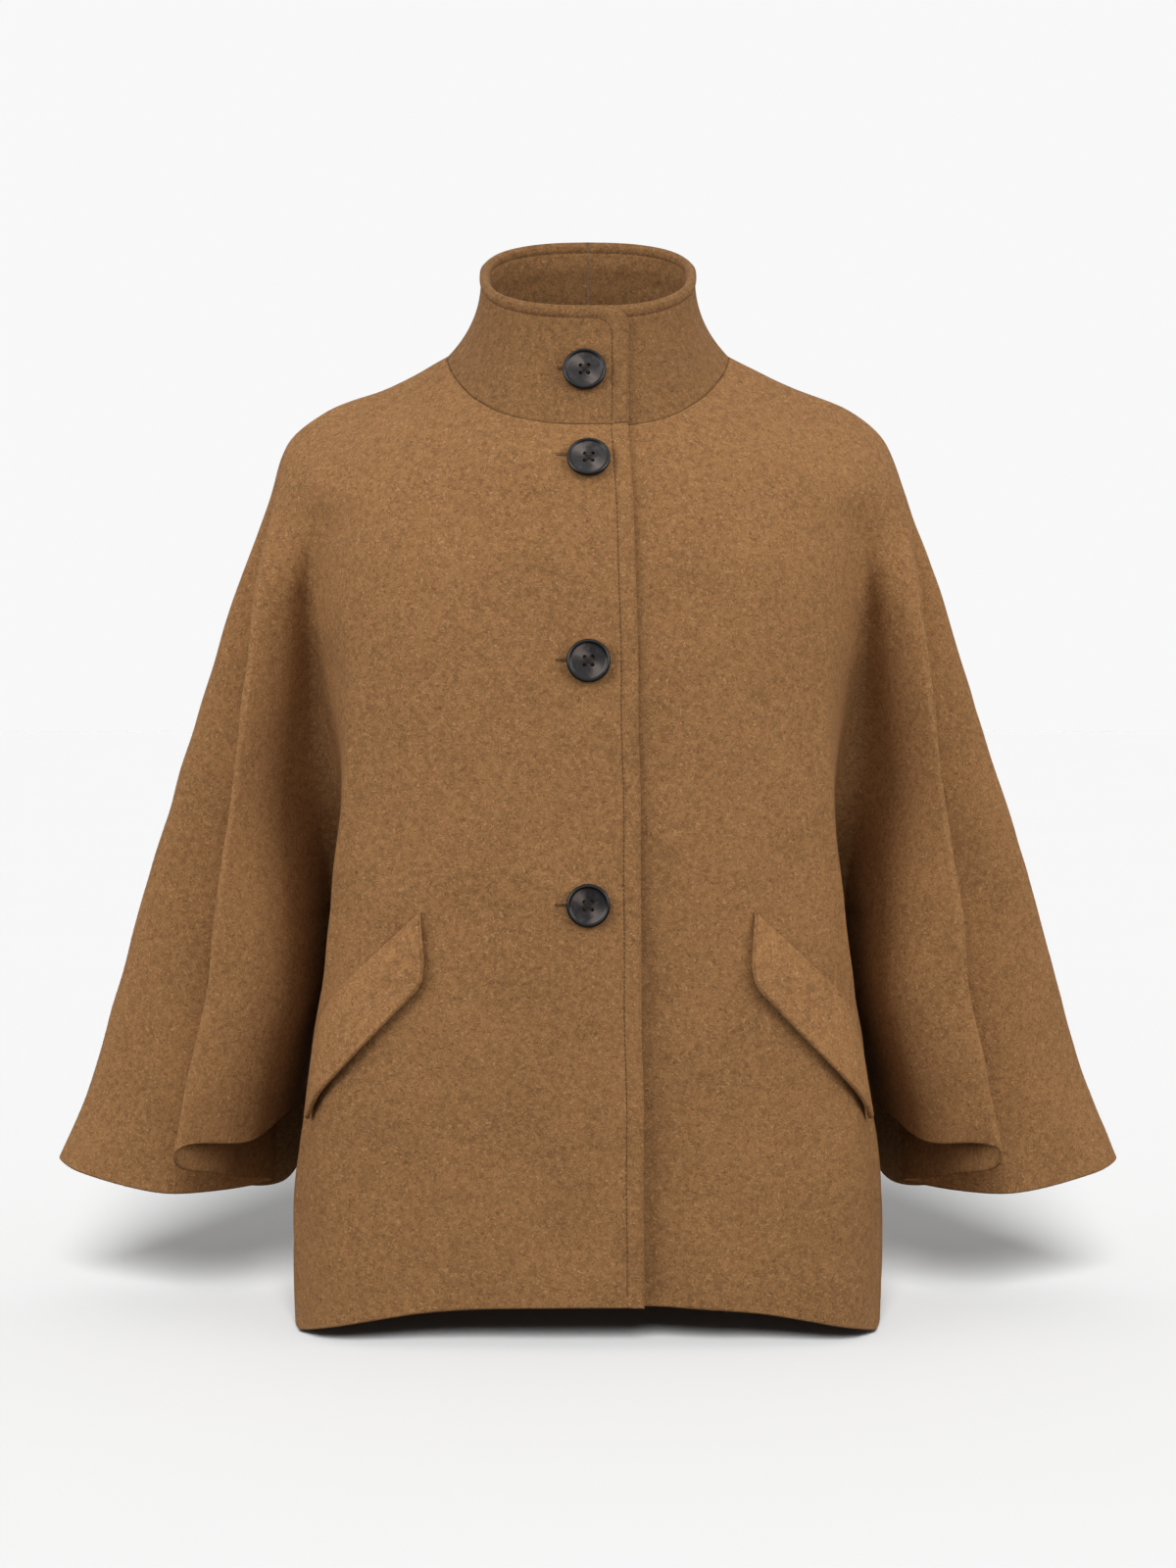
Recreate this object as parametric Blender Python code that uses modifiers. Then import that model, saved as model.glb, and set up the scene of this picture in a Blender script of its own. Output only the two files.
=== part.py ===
"""Wool cape with a stand collar, kimono sleeves, slanted pocket flaps and four buttons.

The front faces -Y, the wearer's right is -X, +Z is up, lengths are in metres and the tables are in millimetres.
The origin is the point between the two shoulder neck points, where the wearer's shoulders carry the cape.
"""
import math

import bpy
import bmesh
import numpy as np
from mathutils import Matrix, Vector

MM = 0.001

# Cloth
CLOTH = 3.0
SEAM_GAP = 0.4
OVERLAP_STEP = 2.0
OVERLAP_FULL = 44.0
OVERLAP_FADE = 90.0
SEAM_DEPTH = 7.5
# Half the flat bottom of the valley between body and sleeve, by distance down the cloth
NOTCH_HALF = ((298, 4.0), (388, 9.0), (473, 3.5))

# Fold and section names along one half section, from the centre front round the arm to the centre back
STATIONS = ("front", "breast", "flank", "side", "fold", "armfold", "face", "ridge", "middle",
            "inner", "third", "outer", "rear", "tuck", "armhollow", "hollow", "blade", "back")
FRONT, FOLD, ARMFOLD, SEAM, ARMHOLLOW, HOLLOW, BACK = 0, 4, 5, 9, 14, 15, 17

# Sections from the neck to the underarm. Heights at front, arm and back, then (out, depth) of each fold
UPPER = (
    dict(at=0, z=(-50.5, 0, 15), front=-95, breast=(25, -93.5), flank=(50, -85.5), side=(61, -78.5),
         fold=(70, -70), face=(82, -55), ridge=(90, -40), middle=(98, -20), inner=(102, 0),
         third=(100, 14), outer=(95, 28), rear=(86, 42), tuck=(80, 48), hollow=(72, 54), blade=(45, 65), back=70),
    dict(at=52, z=(-80, -23.5, -15), front=-113, breast=(45, -110), flank=(86, -96), side=(103, -84),
         fold=(116, -71), face=(132, -51), ridge=(141, -33), middle=(148, -14), inner=(150, 2),
         third=(147.5, 17), outer=(141, 32), rear=(130, 48), tuck=(120, 59), hollow=(108, 68), blade=(65, 84), back=90),
    dict(at=97, z=(-105, -40, -42), front=-121, breast=(55, -118), flank=(105, -104), side=(128, -91),
         fold=(148, -75), face=(170, -52), ridge=(182, -33), middle=(190, -14), inner=(192, 2),
         third=(189, 18), outer=(183, 34), rear=(168, 55), tuck=(152, 69), hollow=(135, 80), blade=(80, 97), back=102),
    dict(at=128, z=(-128, -59.5, -68), front=-127, breast=(65, -124), flank=(120, -109), side=(150, -92),
         fold=(176, -72), face=(200, -48), ridge=(211, -24), middle=(215, -8), inner=(216, 0),
         third=(216, 10), outer=(212, 26), rear=(195, 53), tuck=(179, 69), hollow=(158, 82), blade=(95, 104), back=110),
    dict(at=165, z=(-150, -95, -105), front=-131, breast=(75, -128), flank=(133, -113), side=(166, -91),
         fold=(191, -60), face=(213, -46), ridge=(226, -30), middle=(226, -9), inner=(225, -3),
         third=(229, 4), outer=(229, 18), rear=(212, 52), tuck=(194, 70), hollow=(174, 80), blade=(110, 106), back=114),
    dict(at=222, z=(-185, -150, -155), front=-136, breast=(82, -132), flank=(138, -118), side=(168, -99),
         fold=(198, -53), face=(217, -60), ridge=(236, -62), middle=(232, -14), inner=(229, -4),
         third=(238, 0), outer=(251, 10), rear=(228, 60), tuck=(204, 74), hollow=(182, 74), blade=(120, 108), back=117),
    dict(at=298, z=(-240, -225, -228), front=-141, breast=(88, -137), flank=(141, -123), side=(167, -108),
         fold=(197, -41), face=(220, -65), ridge=(243, -86), middle=(238, -26), inner=(228, -3),
         third=(250, -4), outer=(274, 12), rear=(242, 72), tuck=(210, 80), hollow=(184, 66), blade=(128, 110), back=119),
    dict(at=388, z=(-320, -315, -316), front=-145, breast=(92, -141), flank=(151, -126), side=(173, -112),
         fold=(189, -32), face=(226, -66), ridge=(253, -100), middle=(243, -38), inner=(229, -1),
         third=(262, -8), outer=(303, 16), rear=(262, 84), tuck=(216, 84), hollow=(184, 54), blade=(135, 112), back=121),
    dict(at=473, z=(-400, -400, -400), front=-148, breast=(100, -144), flank=(164, -125), side=(183, -108),
         fold=(186, 1.5), face=(217, -74), ridge=(264, -111), middle=(250, -46), inner=(231, 1),
         third=(274, -12), outer=(329, 22), rear=(280, 95), tuck=(226, 82), hollow=(187, 13.5), blade=(142, 114), back=122),
)
# Sections of the body tube below the underarm. "part" is the share of the way to the hem
BODY = (
    dict(at=523, part=0.17, front=-149, breast=(107, -145), flank=(170, -124), side=(189, -105),
         fold=(186, SEAM_DEPTH), blade=(150, 112), back=123),
    dict(at=593, part=0.40, front=-150, breast=(110, -146), flank=(178, -125), side=(200, -98),
         fold=(195, SEAM_DEPTH), blade=(156, 112), back=125),
    dict(at=663, part=0.63, front=-150, breast=(112, -146), flank=(184, -126), side=(209, -95),
         fold=(204, SEAM_DEPTH), blade=(166, 112), back=127),
    dict(at=718, part=0.82, front=-150, breast=(112, -146), flank=(184, -126), side=(209.5, -92),
         fold=(209, SEAM_DEPTH), blade=(172, 112), back=129),
    dict(at=773, part=1.0, front=-150, breast=(112, -146), flank=(181, -126), side=(207, -90),
         fold=(210.5, SEAM_DEPTH), blade=(175, 112), back=131),
)
# Hem of the body: height at the centre front, centre back and side, and the half width where it is lowest
BODY_HEM = dict(front=-670, back=-690, side=-698.5, half=209)
# Sections of the sleeve tube below the underarm
SLEEVE = (
    dict(at=528, part=0.33, fold=(193, SEAM_DEPTH), face=(219, -82), ridge=(270, -114), middle=(254, -52),
         inner=(232, 3), third=(284, -17), outer=(347, 28), rear=(296, 104), tuck=(231, 84)),
    dict(at=588, part=0.68, fold=(203.5, SEAM_DEPTH), face=(231, -84), ridge=(282, -119), middle=(260, -57),
         inner=(233, 6), third=(296, -23), outer=(368, 34), rear=(308, 111), tuck=(232, 88)),
    dict(at=643, part=1.0, fold=(213, SEAM_DEPTH), face=(243, -79), ridge=(293, -122), middle=(267, -62),
         inner=(235, 8), third=(308, -31), outer=(394.4, 40), rear=(320, 118), tuck=(232, 92)),
)
# Hem of the sleeve: height of each fold at the hem
SLEEVE_HEM = dict(armfold=-548, face=-562, ridge=-566, middle=-589, inner=-605, third=-608.5, outer=-597,
                  rear=-618, tuck=-619, armhollow=-548)
# Share of a sharp bend at a station, by distance down the cloth: 0 is round and 1 is a plain corner
CORNERS = dict(
    side=((222, 0.0), (298, 0.35), (388, 0.8), (593, 0.8), (773, 0.6)),
    fold=((388, 0.0), (473, 1.0), (560, 0.0)),
    armfold=((388, 0.0), (473, 1.0), (560, 0.0)),
    ridge=((128, 0.0), (222, 0.5), (388, 0.6), (560, 0.5), (643, 0.1)),
    armhollow=((388, 0.0), (473, 1.0), (560, 0.0)),
    hollow=((388, 0.0), (473, 1.0), (560, 0.0)),
)

# Collar: rim ellipse, its tilt and the flare of its foot at front, side and back
RIM_HALF = 76.5
RIM_FRONT = 71.0
RIM_BACK = 60.0
RIM_SQUARE = 2.45
RIM_LEVEL = 65.0
RIM_TILT = 0.41
COLLAR_FLARE = (1.5, 2.6, 1.8)
COLLAR_CORNER = 12.0
COLLAR_HEIGHT = 85.0
COLLAR_SHARES = (0.0, 0.08, 0.2, 0.4, 0.65, 0.86, 1.0)
# Columns of the lapped collar end, as shares of its reach past the centre front
COLLAR_END = (1.0, 0.75, 0.4)

# Placket: distance of the lapped free edge past the centre front, and of the edge under it
LAP_EDGE = ((-900.0, 42.0), (-667.0, 40.0), (-227.0, 35.6), (-111.0, 32.1), (-47.0, 28.6), (200.0, 28.2))
UNDER_EDGE = 30.0

# Pocket flap corners as (girth from the centre front, height): sewn line, then free edge
FLAP_SEWN = ((117.0, -391.0), (200.0, -468.0))
FLAP_FREE = ((112.5, -440.0), (215.0, -549.0))
FLAP_CLOTH = 4.5
FLAP_CLEAR = 0.8
FLAP_LIFT = 1.6
FLAP_CORNER = 0.36
FLAP_CORNER_WIDTH = 0.17
FLAP_COLUMNS = 12
FLAP_ROWS = (0.0, 0.3, 0.6, 0.8, 0.92, 1.0)
FLAP_EDGE_THIN = 0.75

# Buttons: height of each centre and distance from the centre front
BUTTONS = (("button_1", -12.0, -2.5), ("button_2", -76.0, 0.5), ("button_3", -215.5, 0.4), ("button_4", -386.0, 0.2))
BUTTON_RADIUS = 15.4
BUTTON_THICK = 5.0
BUTTON_HOLE = 1.45
BUTTON_HOLE_OUT = 3.9
BUTTON_CLEAR = 0.5
BUTTON_STEPS = 24
BUTTON_HOLES = 4
# Button profile from the middle of its back to the middle of its dish: share of the radius and of the height
BUTTON_PROFILE = ((0.0, 0.0), (0.72, 0.0), (0.95, 0.22), (1.0, 0.48), (0.975, 0.78), (0.91, 1.0),
                  (0.84, 0.97), (0.78, 0.8), (0.45, 0.66), (0.0, 0.6))

# Columns in each span between stations, and rows in each band between sections
SPAN_COLUMNS = (2, 3, 2, 3, 1, 3, 4, 3, 3, 3, 4, 4, 2, 2, 1, 3, 3)
UPPER_ROWS = (2, 2, 2, 2, 2, 2, 2, 3)
BODY_ROWS = (2, 2, 2, 1, 1)
SLEEVE_ROWS = (2, 2, 2)
# Steps along and down the cloth that its normal is taken over, and rounds of a search
NORMAL_STATION = 0.02
NORMAL_DOWN = 1.0
COLLAR_STEP = 0.01
SEARCHES = 30
FLAP_SEARCHES = 4

WOOL = (0.30, 0.165, 0.075)
HORN = (0.018, 0.014, 0.012)


# Slopes and values of a smooth curve through knots of unequal spacing
def slopes(knots, values):
    step = np.diff(knots)[:, None]
    rate = np.diff(values, axis=0) / step
    out = np.empty_like(values)
    out[1:-1] = (rate[:-1] * step[1:] + rate[1:] * step[:-1]) / (step[:-1] + step[1:])
    out[0] = rate[0]
    out[-1] = rate[-1]
    return out


def along(knots, values, leaving, where, meeting=None):
    meeting = leaving if meeting is None else meeting
    i = int(np.clip(np.searchsorted(knots, where, side="right") - 1, 0, len(knots) - 2))
    width = knots[i + 1] - knots[i]
    t = (where - knots[i]) / width
    a = 2 * t ** 3 - 3 * t ** 2 + 1
    b = t ** 3 - 2 * t ** 2 + t
    return (a * values[i] + b * width * leaving[i] + (1 - a) * values[i + 1]
            + (t ** 3 - t ** 2) * width * meeting[i + 1])


def section_point(row, name):
    value = row[name]
    return (0.0, value) if name in ("front", "back") else value


def level_height(row, depth):
    low, arm, high = row["z"]
    end = row["front"] if depth < row["inner"][1] else row["back"]
    share = (depth - row["inner"][1]) / (end - row["inner"][1])
    return arm + ((low if depth < row["inner"][1] else high) - arm) * share


def hem_height(name, out):
    if name in STATIONS[FRONT:FOLD + 1]:
        middle = BODY_HEM["front"]
    else:
        middle = BODY_HEM["back"]
    return middle + (BODY_HEM["side"] - middle) * min(1.0, out / BODY_HEM["half"]) ** 3


# One line of points down the cloth for each station: rows of (out, depth, height) with their knots
def build_lines():
    lines = []
    floor_height = UPPER[-1]["z"][0]
    for index, name in enumerate(STATIONS):
        source = {"armfold": "fold", "armhollow": "hollow"}.get(name, name)
        knots, points = [], []
        for row in UPPER:
            x, y = section_point(row, source)
            if name in ("fold", "armfold", "armhollow", "hollow"):
                near, far = ("flank", "ridge") if source == "fold" else ("blade", "outer")
                way = np.subtract(row[far], row[near])
                half = np.interp(row["at"], *zip(*NOTCH_HALF)) if source == "fold" else NOTCH_HALF[-1][1]
                way = way / np.linalg.norm(way) * half * (-1 if name in ("fold", "hollow") else 1)
                x, y = x + way[0], y + way[1]
            knots.append(row["at"])
            points.append((x, y, level_height(row, y)))
        sleeve = ARMFOLD <= index <= ARMHOLLOW
        for row in (SLEEVE if sleeve else BODY):
            x, y = section_point(row, "fold" if source == "hollow" else source)
            low = SLEEVE_HEM[name] if sleeve else hem_height(name, x)
            knots.append(row["at"])
            points.append((x, y, floor_height + (low - floor_height) * row["part"]))
        knots = np.array(knots, float)
        points = np.array(points, float)
        lines.append((knots, points, slopes(knots, points)))
    return lines


LINES = build_lines()
UNDERARM = UPPER[-1]["at"]


# Station points of the section at a distance down the cloth: whole half section, body tube or sleeve tube
def stations_at(down, tube):
    points = [along(*line, down) for line in LINES]
    if down > UNDERARM:
        for index in (FOLD, ARMFOLD, ARMHOLLOW, HOLLOW):
            points[index][1] = SEAM_DEPTH
    if tube == "whole":
        picked = list(range(len(STATIONS)))
    elif tube == "body":
        picked = list(range(FRONT, FOLD + 1)) + list(range(HOLLOW + 1, BACK + 1))
    else:
        picked = list(range(ARMFOLD, ARMHOLLOW))
    return np.array([points[i] for i in picked]), picked


def mirrored(point):
    return point * np.array((-1.0, 1.0, 1.0))


def corner_shares(down):
    return np.array([np.interp(down, *zip(*CORNERS[name])) if name in CORNERS else 0.0 for name in STATIONS])


# Points of the curve before the first station of a section
LEAD = 2


# Plan curve through the stations, bent sharply at its corners, closed by its mirror image or round the sleeve
class Section:
    def __init__(self, down, tube):
        points, self.picked = stations_at(down, tube)
        shares = corner_shares(down)[self.picked]
        if tube == "sleeve":
            points = np.vstack((points[-2:], points, points[:3]))
            shares = np.concatenate((shares[-2:], shares, shares[:3]))
        else:
            points = np.vstack((mirrored(points[2]), mirrored(points[1]), points,
                                mirrored(points[-2]), mirrored(points[-3])))
            shares = np.concatenate((shares[2:0:-1], shares, shares[-2:-4:-1]))
        gaps = np.sqrt(np.maximum(np.linalg.norm(np.diff(points, axis=0), axis=1), 1e-6))
        self.knots = np.concatenate(([0.0], np.cumsum(gaps)))
        self.points = points
        even = slopes(self.knots, points)
        rates = np.diff(points, axis=0) / gaps[:, None]
        self.leaving = even.copy()
        self.meeting = even.copy()
        self.leaving[:-1] += shares[:-1, None] * (rates - even[:-1])
        self.meeting[1:] += shares[1:, None] * (rates - even[1:])

    # Place number of a station in this section's own list
    def place(self, station):
        whole = int(math.floor(station))
        if whole == HOLLOW and HOLLOW not in self.picked:
            whole = FOLD
        if whole == ARMHOLLOW and ARMHOLLOW not in self.picked:
            return LEAD + len(self.picked) + (station - ARMHOLLOW)
        return LEAD + self.picked.index(whole) + (station - math.floor(station))

    def at(self, station):
        if station < 0:
            return mirrored(self.at(-station))
        if station > BACK:
            return mirrored(self.at(2 * BACK - station))
        place = self.place(station)
        i = min(int(math.floor(place)), len(self.knots) - 2)
        where = self.knots[i] + (place - i) * (self.knots[i + 1] - self.knots[i])
        return along(self.knots, self.points, self.leaving, where, self.meeting)


class Cloth:
    def __init__(self):
        self.cache = {}

    def section(self, down, tube):
        key = (round(down, 6), tube)
        if key not in self.cache:
            self.cache[key] = Section(down, tube)
        return self.cache[key]

    def point(self, station, down, tube):
        if down <= UNDERARM + 1e-6 and tube != "whole":
            tube = "whole"
        return self.section(down, tube).at(station)

    # Outward normal, from steps along and down the cloth
    def normal(self, station, down, tube, lowest):
        low, high = station - NORMAL_STATION, station + NORMAL_STATION
        top, bottom = max(0.0, down - NORMAL_DOWN), min(lowest, down + NORMAL_DOWN)
        if down <= UNDERARM + 1e-6:
            tube = "whole"
            bottom = min(bottom, UNDERARM)
        else:
            top = max(top, UNDERARM + 0.01)
        if tube == "sleeve" and low < ARMFOLD:
            low += ARMHOLLOW - ARMFOLD
        if tube == "sleeve" and high > ARMHOLLOW:
            high += ARMFOLD - ARMHOLLOW
        if tube == "body" and station <= FOLD < high:
            high += HOLLOW - FOLD
        if tube == "body" and low < HOLLOW <= station:
            low += FOLD - HOLLOW
        across = self.point(high, down, tube) - self.point(low, down, tube)
        fall = self.point(station, bottom, tube) - self.point(station, top, tube)
        way = np.cross(fall, across)
        return way / np.linalg.norm(way)


CLOTH_FORM = Cloth()


def edge_distance(height):
    levels = [row[0] for row in LAP_EDGE]
    return float(np.interp(height, levels, [row[1] for row in LAP_EDGE]))


# Value between two ends where a test that holds at the low end stops holding
def turning_value(low, high, holds):
    for _ in range(SEARCHES):
        middle = (low + high) / 2
        if holds(middle):
            low = middle
        else:
            high = middle
    return (low + high) / 2


# Station value a given distance out from the centre front
def station_past_front(target, down, tube):
    return turning_value(0.0, 2.0, lambda station: CLOTH_FORM.point(station, down, tube)[0] < target)


# Station value a given girth round from the centre front
def station_at_girth(girth, down, tube):
    steps = np.linspace(0, FOLD, 81)
    points = np.array([CLOTH_FORM.point(s, down, tube) for s in steps])
    length = np.concatenate(([0.0], np.cumsum(np.linalg.norm(np.diff(points, axis=0), axis=1))))
    return float(np.interp(girth, length, steps))


def down_at_height(height, station):
    def above(down):
        tube = "whole" if down <= UNDERARM else "body"
        return CLOTH_FORM.point(station, down, tube)[2] > height
    return turning_value(0.0, BODY[-1]["at"], above)


def smoothstep(value):
    value = min(1.0, max(0.0, value))
    return value * value * (3 - 2 * value)


# Step of the two fronts where they lap: distance along the normal, fading away from the centre front
def lap_step(out, lapped):
    return (1 if lapped else -1) * OVERLAP_STEP * smoothstep((OVERLAP_FADE - out) / (OVERLAP_FADE - OVERLAP_FULL))


def spans(start, stop):
    values = []
    for index in range(start, stop):
        count = SPAN_COLUMNS[index]
        values.extend(index + k / count for k in range(count))
    values.append(float(stop))
    return values


def bands(rows, counts):
    values = []
    for upper, lower, count in zip(rows[:-1], rows[1:], counts):
        values.extend(upper + (lower - upper) * k / count for k in range(count))
    values.append(float(rows[-1]))
    return values


UPPER_DOWN = bands([row["at"] for row in UPPER], UPPER_ROWS)
BODY_DOWN = bands([UNDERARM] + [row["at"] for row in BODY], BODY_ROWS)
SLEEVE_DOWN = bands([UNDERARM] + [row["at"] for row in SLEEVE], SLEEVE_ROWS)


# Collar surface: share 0 at the neck seam and 1 at the rim
def rim_point(station):
    neck = CLOTH_FORM.point(station, 0.0, "whole")
    depth = -UPPER[0]["front"] if neck[1] < 0 else UPPER[0]["back"]
    angle = math.atan2(neck[0] / UPPER[0]["inner"][0], -neck[1] / depth)
    s, c = math.sin(angle), math.cos(angle)
    size = (abs(s) ** RIM_SQUARE + abs(c) ** RIM_SQUARE) ** (-1 / RIM_SQUARE)
    x = RIM_HALF * s * size
    y = -(RIM_FRONT if c > 0 else RIM_BACK) * c * size
    return np.array((x, y, RIM_LEVEL + RIM_TILT * y)), abs(angle)


def collar_point(station, share):
    neck = CLOTH_FORM.point(station, 0.0, "whole")
    rim, angle = rim_point(station)
    turn = angle / math.pi * 2
    flare = np.interp(turn, (0.0, 1.0, 2.0), COLLAR_FLARE)
    inward = 1 - (1 - share) ** flare
    return np.array((neck[0] + (rim[0] - neck[0]) * inward, neck[1] + (rim[1] - neck[1]) * inward,
                     neck[2] + (rim[2] - neck[2]) * share))


def collar_normal(station, share):
    low, high = max(0.0, share - COLLAR_STEP), min(1.0, share + COLLAR_STEP)
    across = collar_point(station + NORMAL_STATION, share) - collar_point(station - NORMAL_STATION, share)
    rise = collar_point(station, low) - collar_point(station, high)
    way = np.cross(rise, across)
    return way / np.linalg.norm(way)


def neck_normal(station):
    both = collar_normal(station, 0.0) + CLOTH_FORM.normal(station, 0.0, "whole", UNDERARM)
    return both / np.linalg.norm(both)


# Closed solid of a cloth sheet: cells name grid keys, outer and inner points come from the keys
def sheet_mesh(name, cells, outer, inner):
    keys = sorted({key for cell in cells for key in cell})
    index = {key: i for i, key in enumerate(keys)}
    count = len(keys)
    vertices = [Vector(outer[key]) * MM for key in keys] + [Vector(inner[key]) * MM for key in keys]
    faces = []
    border = {}
    for cell in cells:
        ring = [index[key] for key in cell]
        faces.append(ring)
        faces.append([i + count for i in reversed(ring)])
        for a, b in zip(ring, ring[1:] + ring[:1]):
            if (b, a) in border:
                del border[(b, a)]
            else:
                border[(a, b)] = True
    for a, b in border:
        faces.append([b, a, a + count, b + count])
    mesh = bpy.data.meshes.new(name)
    mesh.from_pydata(vertices, [], faces)
    mesh.validate()
    work = bmesh.new()
    work.from_mesh(mesh)
    bmesh.ops.recalc_face_normals(work, faces=work.faces)
    work.to_mesh(mesh)
    work.free()
    for polygon in mesh.polygons:
        polygon.use_smooth = True
    return mesh


def add_object(name, mesh, collection, slot):
    piece = bpy.data.objects.new(name, mesh)
    piece.data.materials.append(slot)
    collection.objects.link(piece)
    return piece


def material(name, colour, roughness):
    slot = bpy.data.materials.new(name)
    slot.use_nodes = True
    shader = slot.node_tree.nodes["Principled BSDF"]
    shader.inputs["Base Color"].default_value = (*colour, 1.0)
    shader.inputs["Roughness"].default_value = roughness
    shader.inputs["Metallic"].default_value = 0.0
    return slot


def thicken(point, normal, half):
    return point + normal * half, point - normal * half


# Cells between the rows and columns of one part of a sheet
def add_cells(cells, key, rows, picked):
    for r in range(rows - 1):
        for c in picked[:-1]:
            cells.append([key(r, c), key(r, c + 1), key(r + 1, c + 1), key(r + 1, c)])


# Front panel of the wearer's right (side -1, laps over) or left (side 1, lies under)
def front_panel(name, side, collection, slot):
    lapped = side < 0
    outer, inner, cells = {}, {}, []

    def columns(down, tube):
        height = CLOTH_FORM.point(0.0, down, tube)[2]
        reach = edge_distance(height) if lapped else UNDER_EDGE
        edge = station_past_front(reach, down, tube)
        return [-edge, -edge / 2] + spans(FRONT, FOLD)

    def place(key, station, down, tube, lowest):
        point = CLOTH_FORM.point(station, down, tube)
        normal = CLOTH_FORM.normal(station, down, tube, lowest)
        if down == 0:
            normal = neck_normal(station)
            fall = CLOTH_FORM.point(station, 1.0, tube) - point
            point = point + fall / np.linalg.norm(fall) * SEAM_GAP / 2
        if station == SEAM:
            way = CLOTH_FORM.point(station, down, tube) - CLOTH_FORM.point(station - 0.05, down, tube)
            point = point - way / np.linalg.norm(way) * SEAM_GAP / 2
        if down > UNDERARM and station in (FOLD, ARMFOLD):
            point = point - np.array((0, SEAM_GAP / 2, 0))
        point = point + normal * lap_step(point[0], lapped)
        out, back = thicken(point, normal, CLOTH / 2)
        flip = np.array((side, 1.0, 1.0))
        outer[key] = out * flip
        inner[key] = back * flip

    body_columns = len(columns(0.0, "whole"))
    arm = spans(ARMFOLD, SEAM)
    for r, down in enumerate(UPPER_DOWN):
        stations = columns(down, "whole") + arm
        for c, station in enumerate(stations):
            place(("u", r, c), station, down, "whole", UNDERARM)
    last = len(UPPER_DOWN) - 1
    width = body_columns + len(arm)
    add_cells(cells, lambda r, c: ("u", r, c), last + 1, range(width))

    def lower(tag, downs, lowest, picked):
        def key(r, c):
            return ("u", last, c) if r == 0 else (tag, r, c)
        for r, down in enumerate(downs[1:], 1):
            stations = columns(down, "body") + arm
            for c in picked:
                place(key(r, c), stations[c], down, tag, lowest)
        add_cells(cells, key, len(downs), picked)

    lower("body", BODY_DOWN, BODY[-1]["at"], range(body_columns))
    lower("sleeve", SLEEVE_DOWN, SLEEVE[-1]["at"], range(body_columns, width))
    return add_object(name, sheet_mesh(name, cells, outer, inner), collection, slot)


# Back panel in one piece, from one arm seam round the back to the other
def back_panel(name, collection, slot):
    outer, inner, cells = {}, {}, []
    arm = spans(SEAM, ARMHOLLOW)
    body = spans(HOLLOW, BACK)
    half = len(arm) + len(body)
    width = 2 * half - 1

    def place(r_key, c, station, down, tube, lowest, side):
        point = CLOTH_FORM.point(station, down, tube)
        normal = CLOTH_FORM.normal(station, down, tube, lowest)
        if station == BACK:
            normal[0] = 0.0
            normal = normal / np.linalg.norm(normal)
        if down == 0:
            normal = neck_normal(station)
            fall = CLOTH_FORM.point(station, 1.0, tube) - point
            point = point + fall / np.linalg.norm(fall) * SEAM_GAP / 2
        if station == SEAM:
            way = CLOTH_FORM.point(station + 0.05, down, tube) - CLOTH_FORM.point(station, down, tube)
            point = point + way / np.linalg.norm(way) * SEAM_GAP / 2
        if down > UNDERARM and station in (HOLLOW, ARMHOLLOW):
            point = point + np.array((0, SEAM_GAP / 2, 0))
        out, back = thicken(point, normal, CLOTH / 2)
        flip = np.array((side, 1.0, 1.0))
        outer[(*r_key, c)] = out * flip
        inner[(*r_key, c)] = back * flip

    stations = arm + body
    last = len(UPPER_DOWN) - 1
    for r, down in enumerate(UPPER_DOWN):
        for c, station in enumerate(stations):
            place(("u", r), c, station, down, "whole", UNDERARM, -1)
            if c < half - 1:
                place(("u", r), width - 1 - c, station, down, "whole", UNDERARM, 1)
    add_cells(cells, lambda r, c: ("u", r, c), last + 1, range(width))

    def lower(tag, downs, lowest, picked):
        def key(r, c):
            return ("u", last, c) if r == 0 else (tag, r, c)
        for r, down in enumerate(downs[1:], 1):
            for c in picked:
                side = 1 if c >= half else -1
                station = stations[width - 1 - c] if c >= half else stations[c]
                place((tag, r), c, station, down, tag, lowest, side)
        add_cells(cells, key, len(downs), picked)

    lower("body", BODY_DOWN, BODY[-1]["at"], range(len(arm), width - len(arm)))
    lower("sleeve", SLEEVE_DOWN, SLEEVE[-1]["at"], range(len(arm)))
    lower("sleeve", SLEEVE_DOWN, SLEEVE[-1]["at"], range(width - len(arm), width))
    return add_object(name, sheet_mesh(name, cells, outer, inner), collection, slot)


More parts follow.
